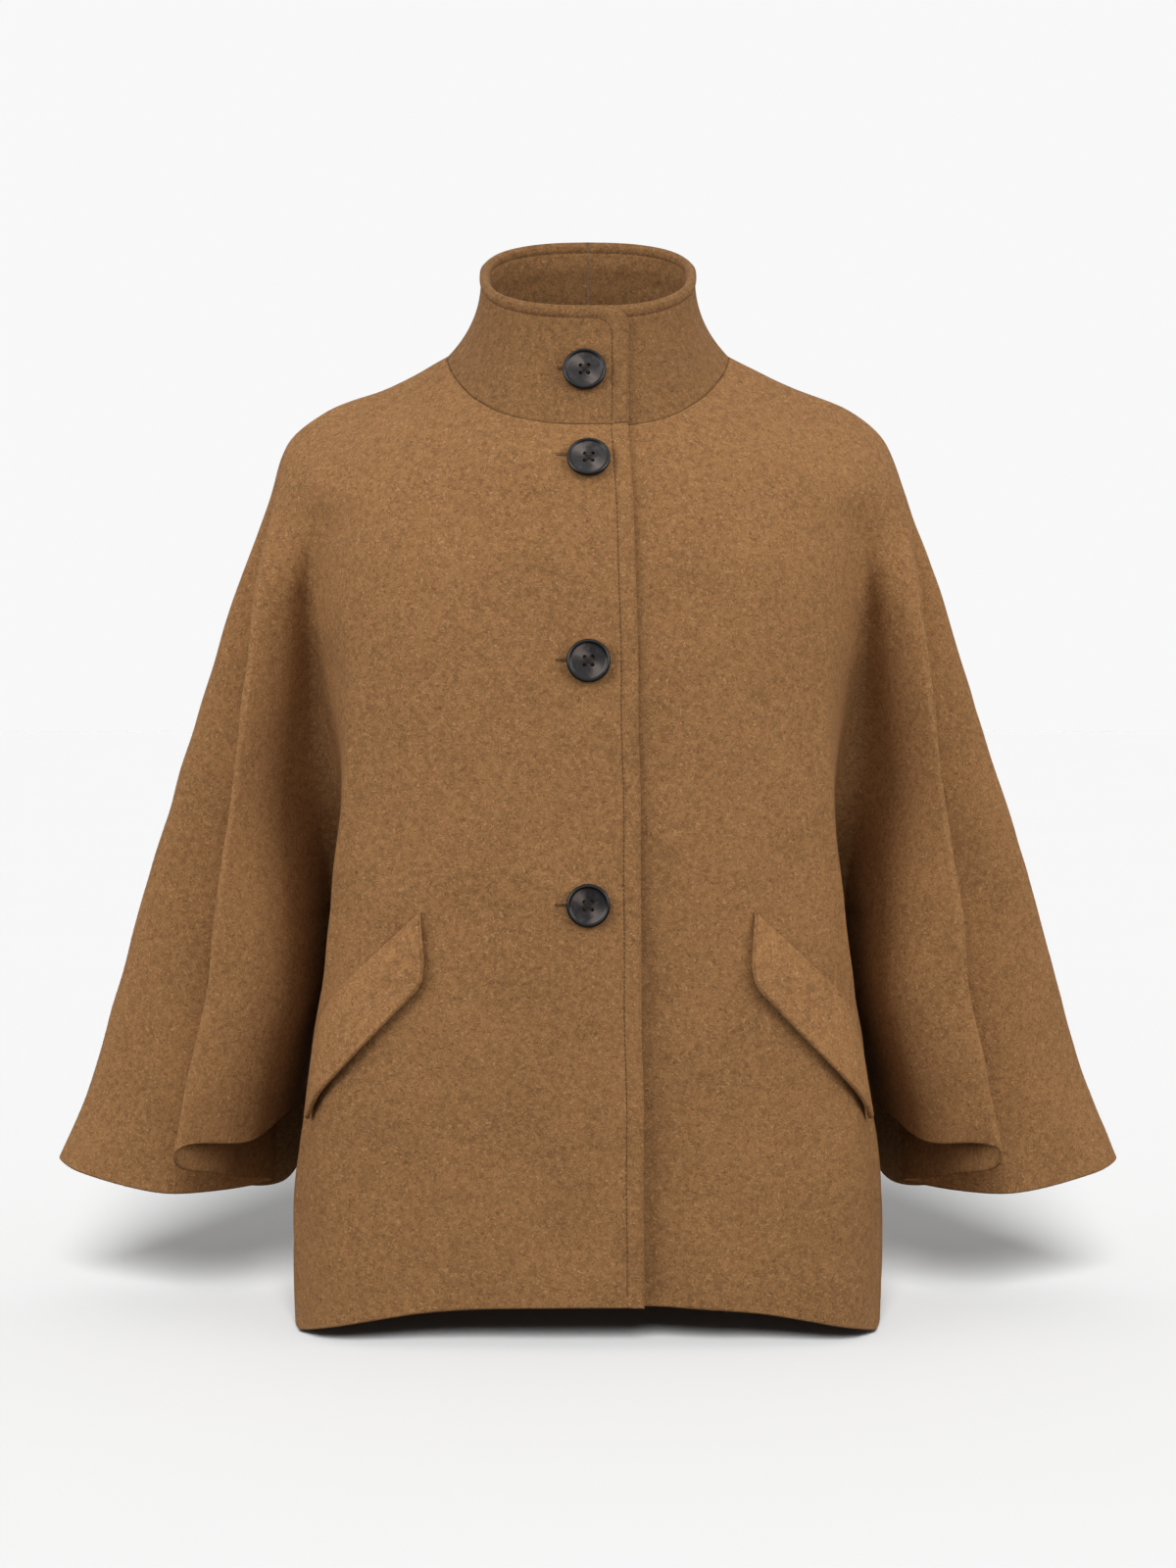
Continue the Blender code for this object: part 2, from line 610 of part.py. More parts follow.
# Half of the collar, from its lapped end at the front round to the centre back
def collar_half(name, side, collection, slot):
    lapped = side < 0
    outer, inner, cells = {}, {}, []
    reach = edge_distance(0.0) if lapped else UNDER_EDGE
    edge = station_past_front(reach, 0.0, "whole")
    stations = [-edge * part for part in COLLAR_END] + [0.0, 0.5] + [float(s) for s in range(1, BACK + 1)]
    for c, station in enumerate(stations):
        for r, share in enumerate(COLLAR_SHARES):
            height, place = share, station
            if station < 0:
                past = station / -edge
                if lapped:
                    height = share * (1 - past ** 4 * COLLAR_CORNER / COLLAR_HEIGHT)
                place = -turning_value(0.0, 2.0, lambda s: abs(collar_point(-s, height)[0]) < -reach * past)
            point = collar_point(place, height)
            normal = collar_normal(place, height)
            if r == 0:
                normal = neck_normal(station)
                point = collar_point(station, 0.0)
                rise = collar_point(station, COLLAR_STEP) - point
                point = point + rise / np.linalg.norm(rise) * SEAM_GAP / 2
            if station == BACK:
                normal[0] = 0.0
                normal = normal / np.linalg.norm(normal)
                point = point + np.array((SEAM_GAP / 2, 0, 0))
            step = lap_step(point[0], lapped) * smoothstep((SEAM - station) / 3)
            out, back = thicken(point + normal * step, normal, CLOTH / 2)
            flip = np.array((side, 1.0, 1.0))
            outer[(r, c)] = out * flip
            inner[(r, c)] = back * flip
    add_cells(cells, lambda r, c: (r, c), len(COLLAR_SHARES), range(len(stations)))
    return add_object(name, sheet_mesh(name, cells, outer, inner), collection, slot)


# Pocket flap laid on the front panel, moved out from its points
def pocket_flap(name, side, collection, slot):
    outer, inner, cells = {}, {}, []
    for c in range(FLAP_COLUMNS + 1):
        for r, q in enumerate(FLAP_ROWS):
            p = c / FLAP_COLUMNS
            bend = max(0.0, (q - (1 - FLAP_CORNER)) / FLAP_CORNER)
            inset = (1 - math.sqrt(max(0.0, 1 - bend * bend))) * FLAP_CORNER * FLAP_CORNER_WIDTH
            share = inset + p * (1 - 2 * inset)
            sewn = np.array(FLAP_SEWN[0]) * (1 - share) + np.array(FLAP_SEWN[1]) * share
            free = np.array(FLAP_FREE[0]) * (1 - share) + np.array(FLAP_FREE[1]) * share
            girth, height = sewn * (1 - q) + free * q
            station = 2.0
            for _ in range(FLAP_SEARCHES):
                down = down_at_height(height, station)
                tube = "whole" if down <= UNDERARM else "body"
                station = station_at_girth(girth, down, tube)
            point = CLOTH_FORM.point(station, down, tube)
            normal = CLOTH_FORM.normal(station, down, tube, BODY[-1]["at"])
            base = CLOTH / 2 + FLAP_CLEAR + FLAP_LIFT * q
            thick = FLAP_CLOTH * (FLAP_EDGE_THIN + (1 - FLAP_EDGE_THIN) * q)
            flip = np.array((side, 1.0, 1.0))
            outer[(r, c)] = (point + normal * (base + thick)) * flip
            inner[(r, c)] = (point + normal * base) * flip
    add_cells(cells, lambda r, c: (r, c), len(FLAP_ROWS), range(FLAP_COLUMNS + 1))
    return add_object(name, sheet_mesh(name, cells, outer, inner), collection, slot)


# Round button turned from its profile, with four thread holes
def button(name, height, out, collection, cutters, slot):
    if height > UPPER[0]["z"][0]:
        share = turning_value(0.0, 1.0, lambda share: collar_point(0.0, share)[2] < height)
        point, normal = collar_point(0.0, share), collar_normal(0.0, share)
    else:
        down = down_at_height(height, 0.0)
        point, normal = CLOTH_FORM.point(0.0, down, "whole"), CLOTH_FORM.normal(0.0, down, "whole", UNDERARM)
    normal = np.array((0.0, normal[1], normal[2]))
    normal = normal / np.linalg.norm(normal)
    base = point + normal * (OVERLAP_STEP + CLOTH / 2 + BUTTON_CLEAR) + np.array((out, 0, 0))
    profile = [(out * BUTTON_RADIUS * MM, 0.0, high * BUTTON_THICK * MM) for out, high in BUTTON_PROFILE]
    mesh = bpy.data.meshes.new(name)
    mesh.from_pydata(profile, [(i, i + 1) for i in range(len(profile) - 1)], [])
    piece = add_object(name, mesh, collection, slot)
    turn = piece.modifiers.new("turn", "SCREW")
    turn.axis = "Z"
    turn.steps = BUTTON_STEPS
    turn.render_steps = BUTTON_STEPS
    turn.use_merge_vertices = True
    turn.merge_threshold = 0.00002
    turn.use_smooth_shade = True
    axis = Vector(normal)
    spin = Vector((0, 0, 1)).rotation_difference(axis).to_matrix().to_4x4()
    placement = Matrix.Translation(Vector(base) * MM) @ spin
    piece.matrix_world = placement
    for k in range(BUTTON_HOLES):
        angle = 2 * math.pi * (k + 0.5) / BUTTON_HOLES
        cutter_mesh = bpy.data.meshes.new(f"{name}_hole_{k}")
        work = bmesh.new()
        bmesh.ops.create_cone(work, cap_ends=True, segments=8, radius1=BUTTON_HOLE * MM, radius2=BUTTON_HOLE * MM,
                              depth=4 * BUTTON_THICK * MM)
        work.to_mesh(cutter_mesh)
        work.free()
        cutter = bpy.data.objects.new(f"{name}_hole_{k}", cutter_mesh)
        cutters.objects.link(cutter)
        cutter.hide_render = True
        cutter.display_type = "WIRE"
        place = Vector((BUTTON_HOLE_OUT * math.cos(angle), BUTTON_HOLE_OUT * math.sin(angle), 0)) * MM
        cutter.matrix_world = placement @ Matrix.Translation(place)
        cut = piece.modifiers.new(f"hole_{k}", "BOOLEAN")
        cut.operation = "DIFFERENCE"
        cut.solver = "EXACT"
        cut.object = cutter
    return piece


def main():
    for old in list(bpy.data.objects):
        bpy.data.objects.remove(old, do_unlink=True)
    cape = bpy.data.collections.new("wool_cape")
    cutters = bpy.data.collections.new("cutters")
    bpy.context.scene.collection.children.link(cape)
    bpy.context.scene.collection.children.link(cutters)
    wool = material("wool", WOOL, 0.9)
    horn = material("horn", HORN, 0.25)
    front_panel("front_right", -1, cape, wool)
    front_panel("front_left", 1, cape, wool)
    back_panel("back", cape, wool)
    collar_half("collar_right", -1, cape, wool)
    collar_half("collar_left", 1, cape, wool)
    pocket_flap("pocket_flap_right", -1, cape, wool)
    pocket_flap("pocket_flap_left", 1, cape, wool)
    for name, height, out in BUTTONS:
        button(name, height, out, cape, cutters, horn)


main()
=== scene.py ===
"""Looks of a camel wool cape: thick brushed cloth, topstitching, buttonholes and dark horn buttons.

The front faces -Y, the wearer's right is -X and +Z is up. Tables are in millimetres, meshes in metres.
"""
import math

import bpy
import bmesh
import numpy as np
from bpy.props import FloatProperty, FloatVectorProperty, IntProperty, PointerProperty
from mathutils import Matrix, Vector


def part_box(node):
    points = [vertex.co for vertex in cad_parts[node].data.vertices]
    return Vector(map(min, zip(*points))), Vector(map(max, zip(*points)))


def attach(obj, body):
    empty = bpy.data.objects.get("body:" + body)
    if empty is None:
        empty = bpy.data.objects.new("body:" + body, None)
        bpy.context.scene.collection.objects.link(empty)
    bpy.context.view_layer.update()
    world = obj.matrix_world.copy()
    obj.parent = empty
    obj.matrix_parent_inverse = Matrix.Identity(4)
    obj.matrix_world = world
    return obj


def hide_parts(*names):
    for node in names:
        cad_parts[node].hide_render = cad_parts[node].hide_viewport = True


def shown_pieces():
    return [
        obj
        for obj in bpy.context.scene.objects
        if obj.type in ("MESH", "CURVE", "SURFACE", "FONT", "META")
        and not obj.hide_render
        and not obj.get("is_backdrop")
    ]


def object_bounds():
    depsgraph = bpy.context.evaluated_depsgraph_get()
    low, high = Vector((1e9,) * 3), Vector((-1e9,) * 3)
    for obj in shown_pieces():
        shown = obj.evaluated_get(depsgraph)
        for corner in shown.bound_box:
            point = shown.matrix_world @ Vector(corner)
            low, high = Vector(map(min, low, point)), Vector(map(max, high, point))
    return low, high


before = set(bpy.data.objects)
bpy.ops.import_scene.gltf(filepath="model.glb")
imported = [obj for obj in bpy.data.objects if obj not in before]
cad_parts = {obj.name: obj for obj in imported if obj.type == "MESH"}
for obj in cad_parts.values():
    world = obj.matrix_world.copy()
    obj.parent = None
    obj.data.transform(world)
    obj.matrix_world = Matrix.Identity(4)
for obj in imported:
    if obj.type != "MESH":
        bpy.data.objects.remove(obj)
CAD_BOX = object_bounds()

bl_info = {
    "name": "Wool cape",
    "version": (1, 0, 0),
    "blender": (4, 5, 0),
    "location": "3D View > Sidebar > Cape",
    "description": "Builds the cloth, stitching, buttons and studio of a wool cape on its solids",
    "category": "Object",
}

MM = 0.001

# Cloth, as on the solids
CLOTH = 3.0
OVERLAP_STEP = 2.0
OVERLAP_FULL = 44.0
OVERLAP_FADE = 90.0
SEAM_DEPTH = 7.5
# Half the flat bottom of the valley between body and sleeve, by distance down the cloth
NOTCH_HALF = ((298, 4.0), (388, 9.0), (473, 3.5))

# Fold and section names along one half section, from the centre front round the arm to the centre back
STATIONS = ("front", "breast", "flank", "side", "fold", "armfold", "face", "ridge", "middle",
            "inner", "third", "outer", "rear", "tuck", "armhollow", "hollow", "blade", "back")
FRONT, FOLD, ARMFOLD, SEAM, ARMHOLLOW, HOLLOW, BACK = 0, 4, 5, 9, 14, 15, 17

# Sections from the neck to the underarm. Heights at front, arm and back, then (out, depth) of each fold
UPPER = (
    dict(at=0, z=(-50.5, 0, 15), front=-95, breast=(25, -93.5), flank=(50, -85.5), side=(61, -78.5),
         fold=(70, -70), face=(82, -55), ridge=(90, -40), middle=(98, -20), inner=(102, 0),
         third=(100, 14), outer=(95, 28), rear=(86, 42), tuck=(80, 48),
         hollow=(72, 54), blade=(45, 65), back=70),
    dict(at=52, z=(-80, -23.5, -15), front=-113, breast=(45, -110), flank=(86, -96), side=(103, -84),
         fold=(116, -71), face=(132, -51), ridge=(141, -33), middle=(148, -14), inner=(150, 2),
         third=(147.5, 17), outer=(141, 32), rear=(130, 48), tuck=(120, 59),
         hollow=(108, 68), blade=(65, 84), back=90),
    dict(at=97, z=(-105, -40, -42), front=-121, breast=(55, -118), flank=(105, -104), side=(128, -91),
         fold=(148, -75), face=(170, -52), ridge=(182, -33), middle=(190, -14), inner=(192, 2),
         third=(189, 18), outer=(183, 34), rear=(168, 55), tuck=(152, 69),
         hollow=(135, 80), blade=(80, 97), back=102),
    dict(at=128, z=(-128, -59.5, -68), front=-127, breast=(65, -124), flank=(120, -109), side=(150, -92),
         fold=(176, -72), face=(200, -48), ridge=(211, -24), middle=(215, -8), inner=(216, 0),
         third=(216, 10), outer=(212, 26), rear=(195, 53), tuck=(179, 69),
         hollow=(158, 82), blade=(95, 104), back=110),
    dict(at=165, z=(-150, -95, -105), front=-131, breast=(75, -128), flank=(133, -113), side=(166, -91),
         fold=(191, -60), face=(213, -46), ridge=(226, -30), middle=(226, -9), inner=(225, -3),
         third=(229, 4), outer=(229, 18), rear=(212, 52), tuck=(194, 70),
         hollow=(174, 80), blade=(110, 106), back=114),
    dict(at=222, z=(-185, -150, -155), front=-136, breast=(82, -132), flank=(138, -118), side=(168, -99),
         fold=(198, -53), face=(217, -60), ridge=(236, -62), middle=(232, -14), inner=(229, -4),
         third=(238, 0), outer=(251, 10), rear=(228, 60), tuck=(204, 74),
         hollow=(182, 74), blade=(120, 108), back=117),
    dict(at=298, z=(-240, -225, -228), front=-141, breast=(88, -137), flank=(141, -123), side=(167, -108),
         fold=(197, -41), face=(220, -65), ridge=(243, -86), middle=(238, -26), inner=(228, -3),
         third=(250, -4), outer=(274, 12), rear=(242, 72), tuck=(210, 80),
         hollow=(184, 66), blade=(128, 110), back=119),
    dict(at=388, z=(-320, -315, -316), front=-145, breast=(92, -141), flank=(151, -126), side=(173, -112),
         fold=(189, -32), face=(226, -66), ridge=(253, -100), middle=(243, -38), inner=(229, -1),
         third=(262, -8), outer=(303, 16), rear=(262, 84), tuck=(216, 84),
         hollow=(184, 54), blade=(135, 112), back=121),
    dict(at=473, z=(-400, -400, -400), front=-148, breast=(100, -144), flank=(164, -125), side=(183, -108),
         fold=(186, 1.5), face=(217, -74), ridge=(264, -111), middle=(250, -46), inner=(231, 1),
         third=(274, -12), outer=(329, 22), rear=(280, 95), tuck=(226, 82),
         hollow=(187, 13.5), blade=(142, 114), back=122),
)
# Sections of the body tube below the underarm. "part" is the share of the way to the hem
BODY = (
    dict(at=523, part=0.17, front=-149, breast=(107, -145), flank=(170, -124), side=(189, -105),
         fold=(186, SEAM_DEPTH), blade=(150, 112), back=123),
    dict(at=593, part=0.40, front=-150, breast=(110, -146), flank=(178, -125), side=(200, -98),
         fold=(195, SEAM_DEPTH), blade=(156, 112), back=125),
    dict(at=663, part=0.63, front=-150, breast=(112, -146), flank=(184, -126), side=(209, -95),
         fold=(204, SEAM_DEPTH), blade=(166, 112), back=127),
    dict(at=718, part=0.82, front=-150, breast=(112, -146), flank=(184, -126), side=(209.5, -92),
         fold=(209, SEAM_DEPTH), blade=(172, 112), back=129),
    dict(at=773, part=1.0, front=-150, breast=(112, -146), flank=(181, -126), side=(207, -90),
         fold=(210.5, SEAM_DEPTH), blade=(175, 112), back=131),
)
# Hem of the body: height at the centre front, centre back and side, and the half width where it is lowest
BODY_HEM = dict(front=-670, back=-690, side=-698.5, half=209)
# Sections of the sleeve tube below the underarm
SLEEVE = (
    dict(at=528, part=0.33, fold=(193, SEAM_DEPTH), face=(219, -82), ridge=(270, -114), middle=(254, -52),
         inner=(232, 3), third=(284, -17), outer=(347, 28), rear=(296, 104), tuck=(231, 84)),
    dict(at=588, part=0.68, fold=(203.5, SEAM_DEPTH), face=(231, -84), ridge=(282, -119), middle=(260, -57),
         inner=(233, 6), third=(296, -23), outer=(368, 34), rear=(308, 111), tuck=(232, 88)),
    dict(at=643, part=1.0, fold=(213, SEAM_DEPTH), face=(243, -79), ridge=(293, -122), middle=(267, -62),
         inner=(235, 8), third=(308, -31), outer=(394.4, 40), rear=(320, 118), tuck=(232, 92)),
)
# Hem of the sleeve: height of each fold at the hem
SLEEVE_HEM = dict(armfold=-548, face=-562, ridge=-566, middle=-589, inner=-605, third=-608.5, outer=-597,
                  rear=-618, tuck=-619, armhollow=-548)
# How the sleeve's hem goes round its folds: drop across the fold, rise at it and reach in stations
HEM_TURNS = (
    dict(line="ridge", drop=8.0, rise=0.0, reach=1.0),
    dict(line="outer", drop=0.0, rise=3.0, reach=0.35),
)
# Share of a sharp bend at a station, by distance down the cloth: 0 is round and 1 is a plain corner
CORNERS = dict(
    side=((222, 0.0), (298, 0.35), (388, 0.8), (593, 0.8), (773, 0.6)),
    fold=((388, 0.0), (473, 1.0), (560, 0.0)),
    armfold=((388, 0.0), (473, 1.0), (560, 0.0)),
    ridge=((128, 0.0), (222, 0.4), (388, 0.4), (560, 0.3), (643, 0.0)),
    armhollow=((388, 0.0), (473, 1.0), (560, 0.0)),
    hollow=((388, 0.0), (473, 1.0), (560, 0.0)),
)

# Collar: rim ellipse, its tilt and the flare of its foot at front, side and back
RIM_HALF = 76.5
RIM_FRONT = 71.0
RIM_BACK = 60.0
RIM_SQUARE = 2.45
RIM_LEVEL = 65.0
RIM_TILT = 0.41
COLLAR_FLARE = (1.5, 2.6, 1.8)
COLLAR_CORNER = 12.0
COLLAR_HEIGHT = 85.0

# Placket: distance of the lapped free edge past the centre front by height, and of the edge under it
LAP_EDGE = ((-900.0, 42.0), (-667.0, 40.0), (-227.0, 35.6), (-111.0, 32.1), (-47.0, 28.6), (200.0, 28.2))
UNDER_EDGE = 30.0

# Pocket flap corners as (girth from the centre front, height): sewn line, then free edge
FLAP_SEWN = ((117.0, -391.0), (200.0, -468.0))
FLAP_FREE = ((112.5, -440.0), (215.0, -549.0))
FLAP_CLOTH = 4.5
FLAP_CLEAR = 0.8
FLAP_LIFT = 1.6
FLAP_CORNER = 0.36
FLAP_CORNER_WIDTH = 0.17

# Topstitching: depth and half width of the groove that it pulls into the cloth
GROOVE_DEPTH = 0.62
GROOVE_WIDTH = 0.95
# Ease of the stitch line round the collar's front corner, in insets
CORNER_EASE = 1.3
# Second layer of cloth inside the collar, and how far its thickness builds up below the rim
COLLAR_FACING = 2.6
FACING_RUN = 16.0

# Fineness of the cloth meshes
FRONT_COLUMNS = 58
ARM_COLUMNS = 56
SLEEVE_BACK_COLUMNS = 88
BLADE_COLUMNS = 46
PLACKET_COLUMNS = (0, 1.7, 3.0, 4.5, 6, 7.8, 9.3, 10.4, 11.2, 12, 12.8, 13.6, 15, 17.5)
UPPER_ROWS = 100
BODY_ROWS = 62
SLEEVE_ROWS = 38
SEAM_ROWS = (0, 0.9, 1.9, 3.1, 4.6)
HEM_ROWS = (7.5, 5.2, 3.3, 1.7, 0)

# Soft folds in the cloth: which side, line of the fold, its half width in stations,
# where it starts and ends down the cloth, its height, and how far its line drifts on the way
CREASES = (
    dict(side=-1, line=1.5, spread=0.50, top=300, end=840, rise=2.6, drift=0.25),
    dict(side=-1, line=2.6, spread=0.35, top=250, end=800, rise=-2.2, drift=0.30),
    dict(side=1, line=1.7, spread=0.45, top=340, end=840, rise=2.2, drift=0.30),
    dict(side=1, line=2.7, spread=0.30, top=230, end=760, rise=-2.4, drift=0.20),
    dict(side=-1, line=6.3, spread=0.28, top=230, end=700, rise=2.0, drift=0.20),
    dict(side=1, line=6.4, spread=0.30, top=210, end=660, rise=2.4, drift=-0.15),
    dict(side=1, line=0.40, spread=0.20, top=330, end=800, rise=-6.0, drift=0.02),
    dict(side=-1, line=11.4, spread=0.45, top=200, end=720, rise=3.6, drift=0.35),
    dict(side=1, line=11.2, spread=0.40, top=240, end=720, rise=3.2, drift=0.45),
    dict(side=-1, line=12.6, spread=0.30, top=260, end=720, rise=-3.0, drift=0.20),
    dict(side=1, line=12.7, spread=0.35, top=220, end=720, rise=-3.4, drift=0.10),
    dict(side=-1, line=16.1, spread=0.35, top=180, end=820, rise=3.4, drift=-0.10),
    dict(side=1, line=16.2, spread=0.40, top=210, end=820, rise=2.8, drift=-0.15),
    dict(side=-1, line=15.5, spread=0.25, top=240, end=780, rise=-2.6, drift=0.05),
    dict(side=1, line=15.4, spread=0.22, top=200, end=800, rise=-2.8, drift=0.05),
)
# Slow waves of the cloth surface: length of the wave, its height and its direction
WAVES = (
    dict(length=118.0, height=0.55, way=(0.9, 0.4, 0.35)),
    dict(length=83.0, height=0.40, way=(-0.5, 0.7, 0.62)),
    dict(length=57.0, height=0.24, way=(0.35, -0.5, 0.85)),
    dict(length=39.0, height=0.14, way=(0.8, 0.5, -0.6)),
)


class CapeCloth(bpy.types.PropertyGroup):
    colour: FloatVectorProperty(name="Wool colour", description="Colour of the camel wool", subtype="COLOR",
                                default=(0.336, 0.166, 0.0635), min=0, max=1)
    light_fibre: FloatVectorProperty(name="Light fibres", description="Colour of the palest nap fibres",
                                     subtype="COLOR", default=(0.515, 0.288, 0.127), min=0, max=1)
    dark_fibre: FloatVectorProperty(name="Dark fibres", description="Colour of the darkest nap fibres",
                                    subtype="COLOR", default=(0.156, 0.069, 0.0235), min=0, max=1)
    # Collar shade: a factor under 1 on every colour of the collar's wool, painted shade for the lesser light
    # the collar gets
    collar_painted_shade: FloatProperty(name="Collar shade", description="Darkness of the collar's painted shading",
                                default=0.80, min=0.5, max=1.2)
    # Flap shade: a factor over 1 on every colour of the flaps' wool, painted light for the flaps facing up
    # into the light
    flap_painted_light: FloatProperty(name="Flap shade", description="Lightness of the flaps' painted shading",
                              default=1.12, min=0.5, max=1.4)
    stitch_inset: FloatProperty(name="Placket stitch inset", description="Placket edge to its topstitching",
                                default=0.012, min=0.004, max=0.02, unit="LENGTH")
    rim_inset: FloatProperty(name="Collar stitch inset", description="Collar rim to its topstitching",
                             default=0.009, min=0.004, max=0.02, unit="LENGTH")
    stitch: FloatProperty(name="Stitch length", description="Length of one topstitch",
                          default=0.0034, min=0.001, max=0.008, unit="LENGTH")
    puff: FloatProperty(name="Edge puff", description="Extra thickness of a turned edge",
                        default=0.0007, min=0, max=0.002, unit="LENGTH")


class CapeButtons(bpy.types.PropertyGroup):
    colour: FloatVectorProperty(name="Horn colour", description="Dark ground of the horn", subtype="COLOR",
                                default=(0.012, 0.010, 0.010), min=0, max=1)
    streak: FloatVectorProperty(name="Horn streak", description="Paler streaks of the horn", subtype="COLOR",
                                default=(0.050, 0.042, 0.042), min=0, max=1)
    # Painted highlight: pale colour fanned over the face, standing in for the turned face's reflection
    painted_highlight: FloatVectorProperty(name="Horn sheen", description="Pale sheen that fans over the face",
                             subtype="COLOR", default=(0.150, 0.120, 0.105), min=0, max=1)
    radius: FloatProperty(name="Button radius", description="Outer radius of a button",
                          default=0.0154, min=0.008, max=0.02, unit="LENGTH")
    thickness: FloatProperty(name="Button thickness", description="Height of a button",
                             default=0.005, min=0.002, max=0.008, unit="LENGTH")
    facets: IntProperty(name="Turned steps", description="Steps round a button", default=72, min=24, max=160)


class CapeStage(bpy.types.PropertyGroup):
    distance: FloatProperty(name="Camera distance", description="Camera to the cape", default=3.0,
                            unit="LENGTH")
    elevation: FloatProperty(name="Camera elevation", description="Height of the view above level",
                             default=math.radians(3.5), subtype="ANGLE")
    aim: FloatProperty(name="Aim height", description="Height that the camera looks at", default=-0.310,
                       unit="LENGTH")
    frame_height: FloatProperty(name="Frame height", description="Height of the picture at the cape",
                                default=1.152, unit="LENGTH")
    backdrop: FloatVectorProperty(name="Backdrop", description="Colour of the floor and backdrop",
                                  subtype="COLOR", default=(0.42, 0.42, 0.42), min=0, max=1)


# Smooth curve through knots of unequal spacing
def slopes(knots, values):
    step = np.diff(knots)[:, None]
    rate = np.diff(values, axis=0) / step
    out = np.empty_like(values)
    out[1:-1] = (rate[:-1] * step[1:] + rate[1:] * step[:-1]) / (step[:-1] + step[1:])
    out[0] = rate[0]
    out[-1] = rate[-1]
    return out


def along(knots, values, leaving, where, meeting=None):
    meeting = leaving if meeting is None else meeting
    where = np.atleast_1d(np.asarray(where, float))
    i = np.clip(np.searchsorted(knots, where, side="right") - 1, 0, len(knots) - 2)
    width = (knots[i + 1] - knots[i])[:, None]
    t = (where - knots[i])[:, None] / width
    a = 2 * t ** 3 - 3 * t ** 2 + 1
    b = t ** 3 - 2 * t ** 2 + t
    return (a * values[i] + b * width * leaving[i] + (1 - a) * values[i + 1]
            + (t ** 3 - t ** 2) * width * meeting[i + 1])


def smoothstep(value):
    value = np.clip(value, 0.0, 1.0)
    return value * value * (3 - 2 * value)


def unit(vectors):
    return vectors / np.maximum(np.linalg.norm(vectors, axis=-1, keepdims=True), 1e-9)


# The cape's cloth as a surface of stations round it and distances down it
def hem_turn(stations):
    total = np.zeros(len(stations))
    for turn in HEM_TURNS:
        away = (stations - STATIONS.index(turn["line"])) / turn["reach"]
        inside = np.clip(1 - np.abs(away), 0.0, 1.0)
        total += turn["rise"] * smoothstep(inside) - turn["drop"] * inside * np.sin(math.pi * away)
    return total


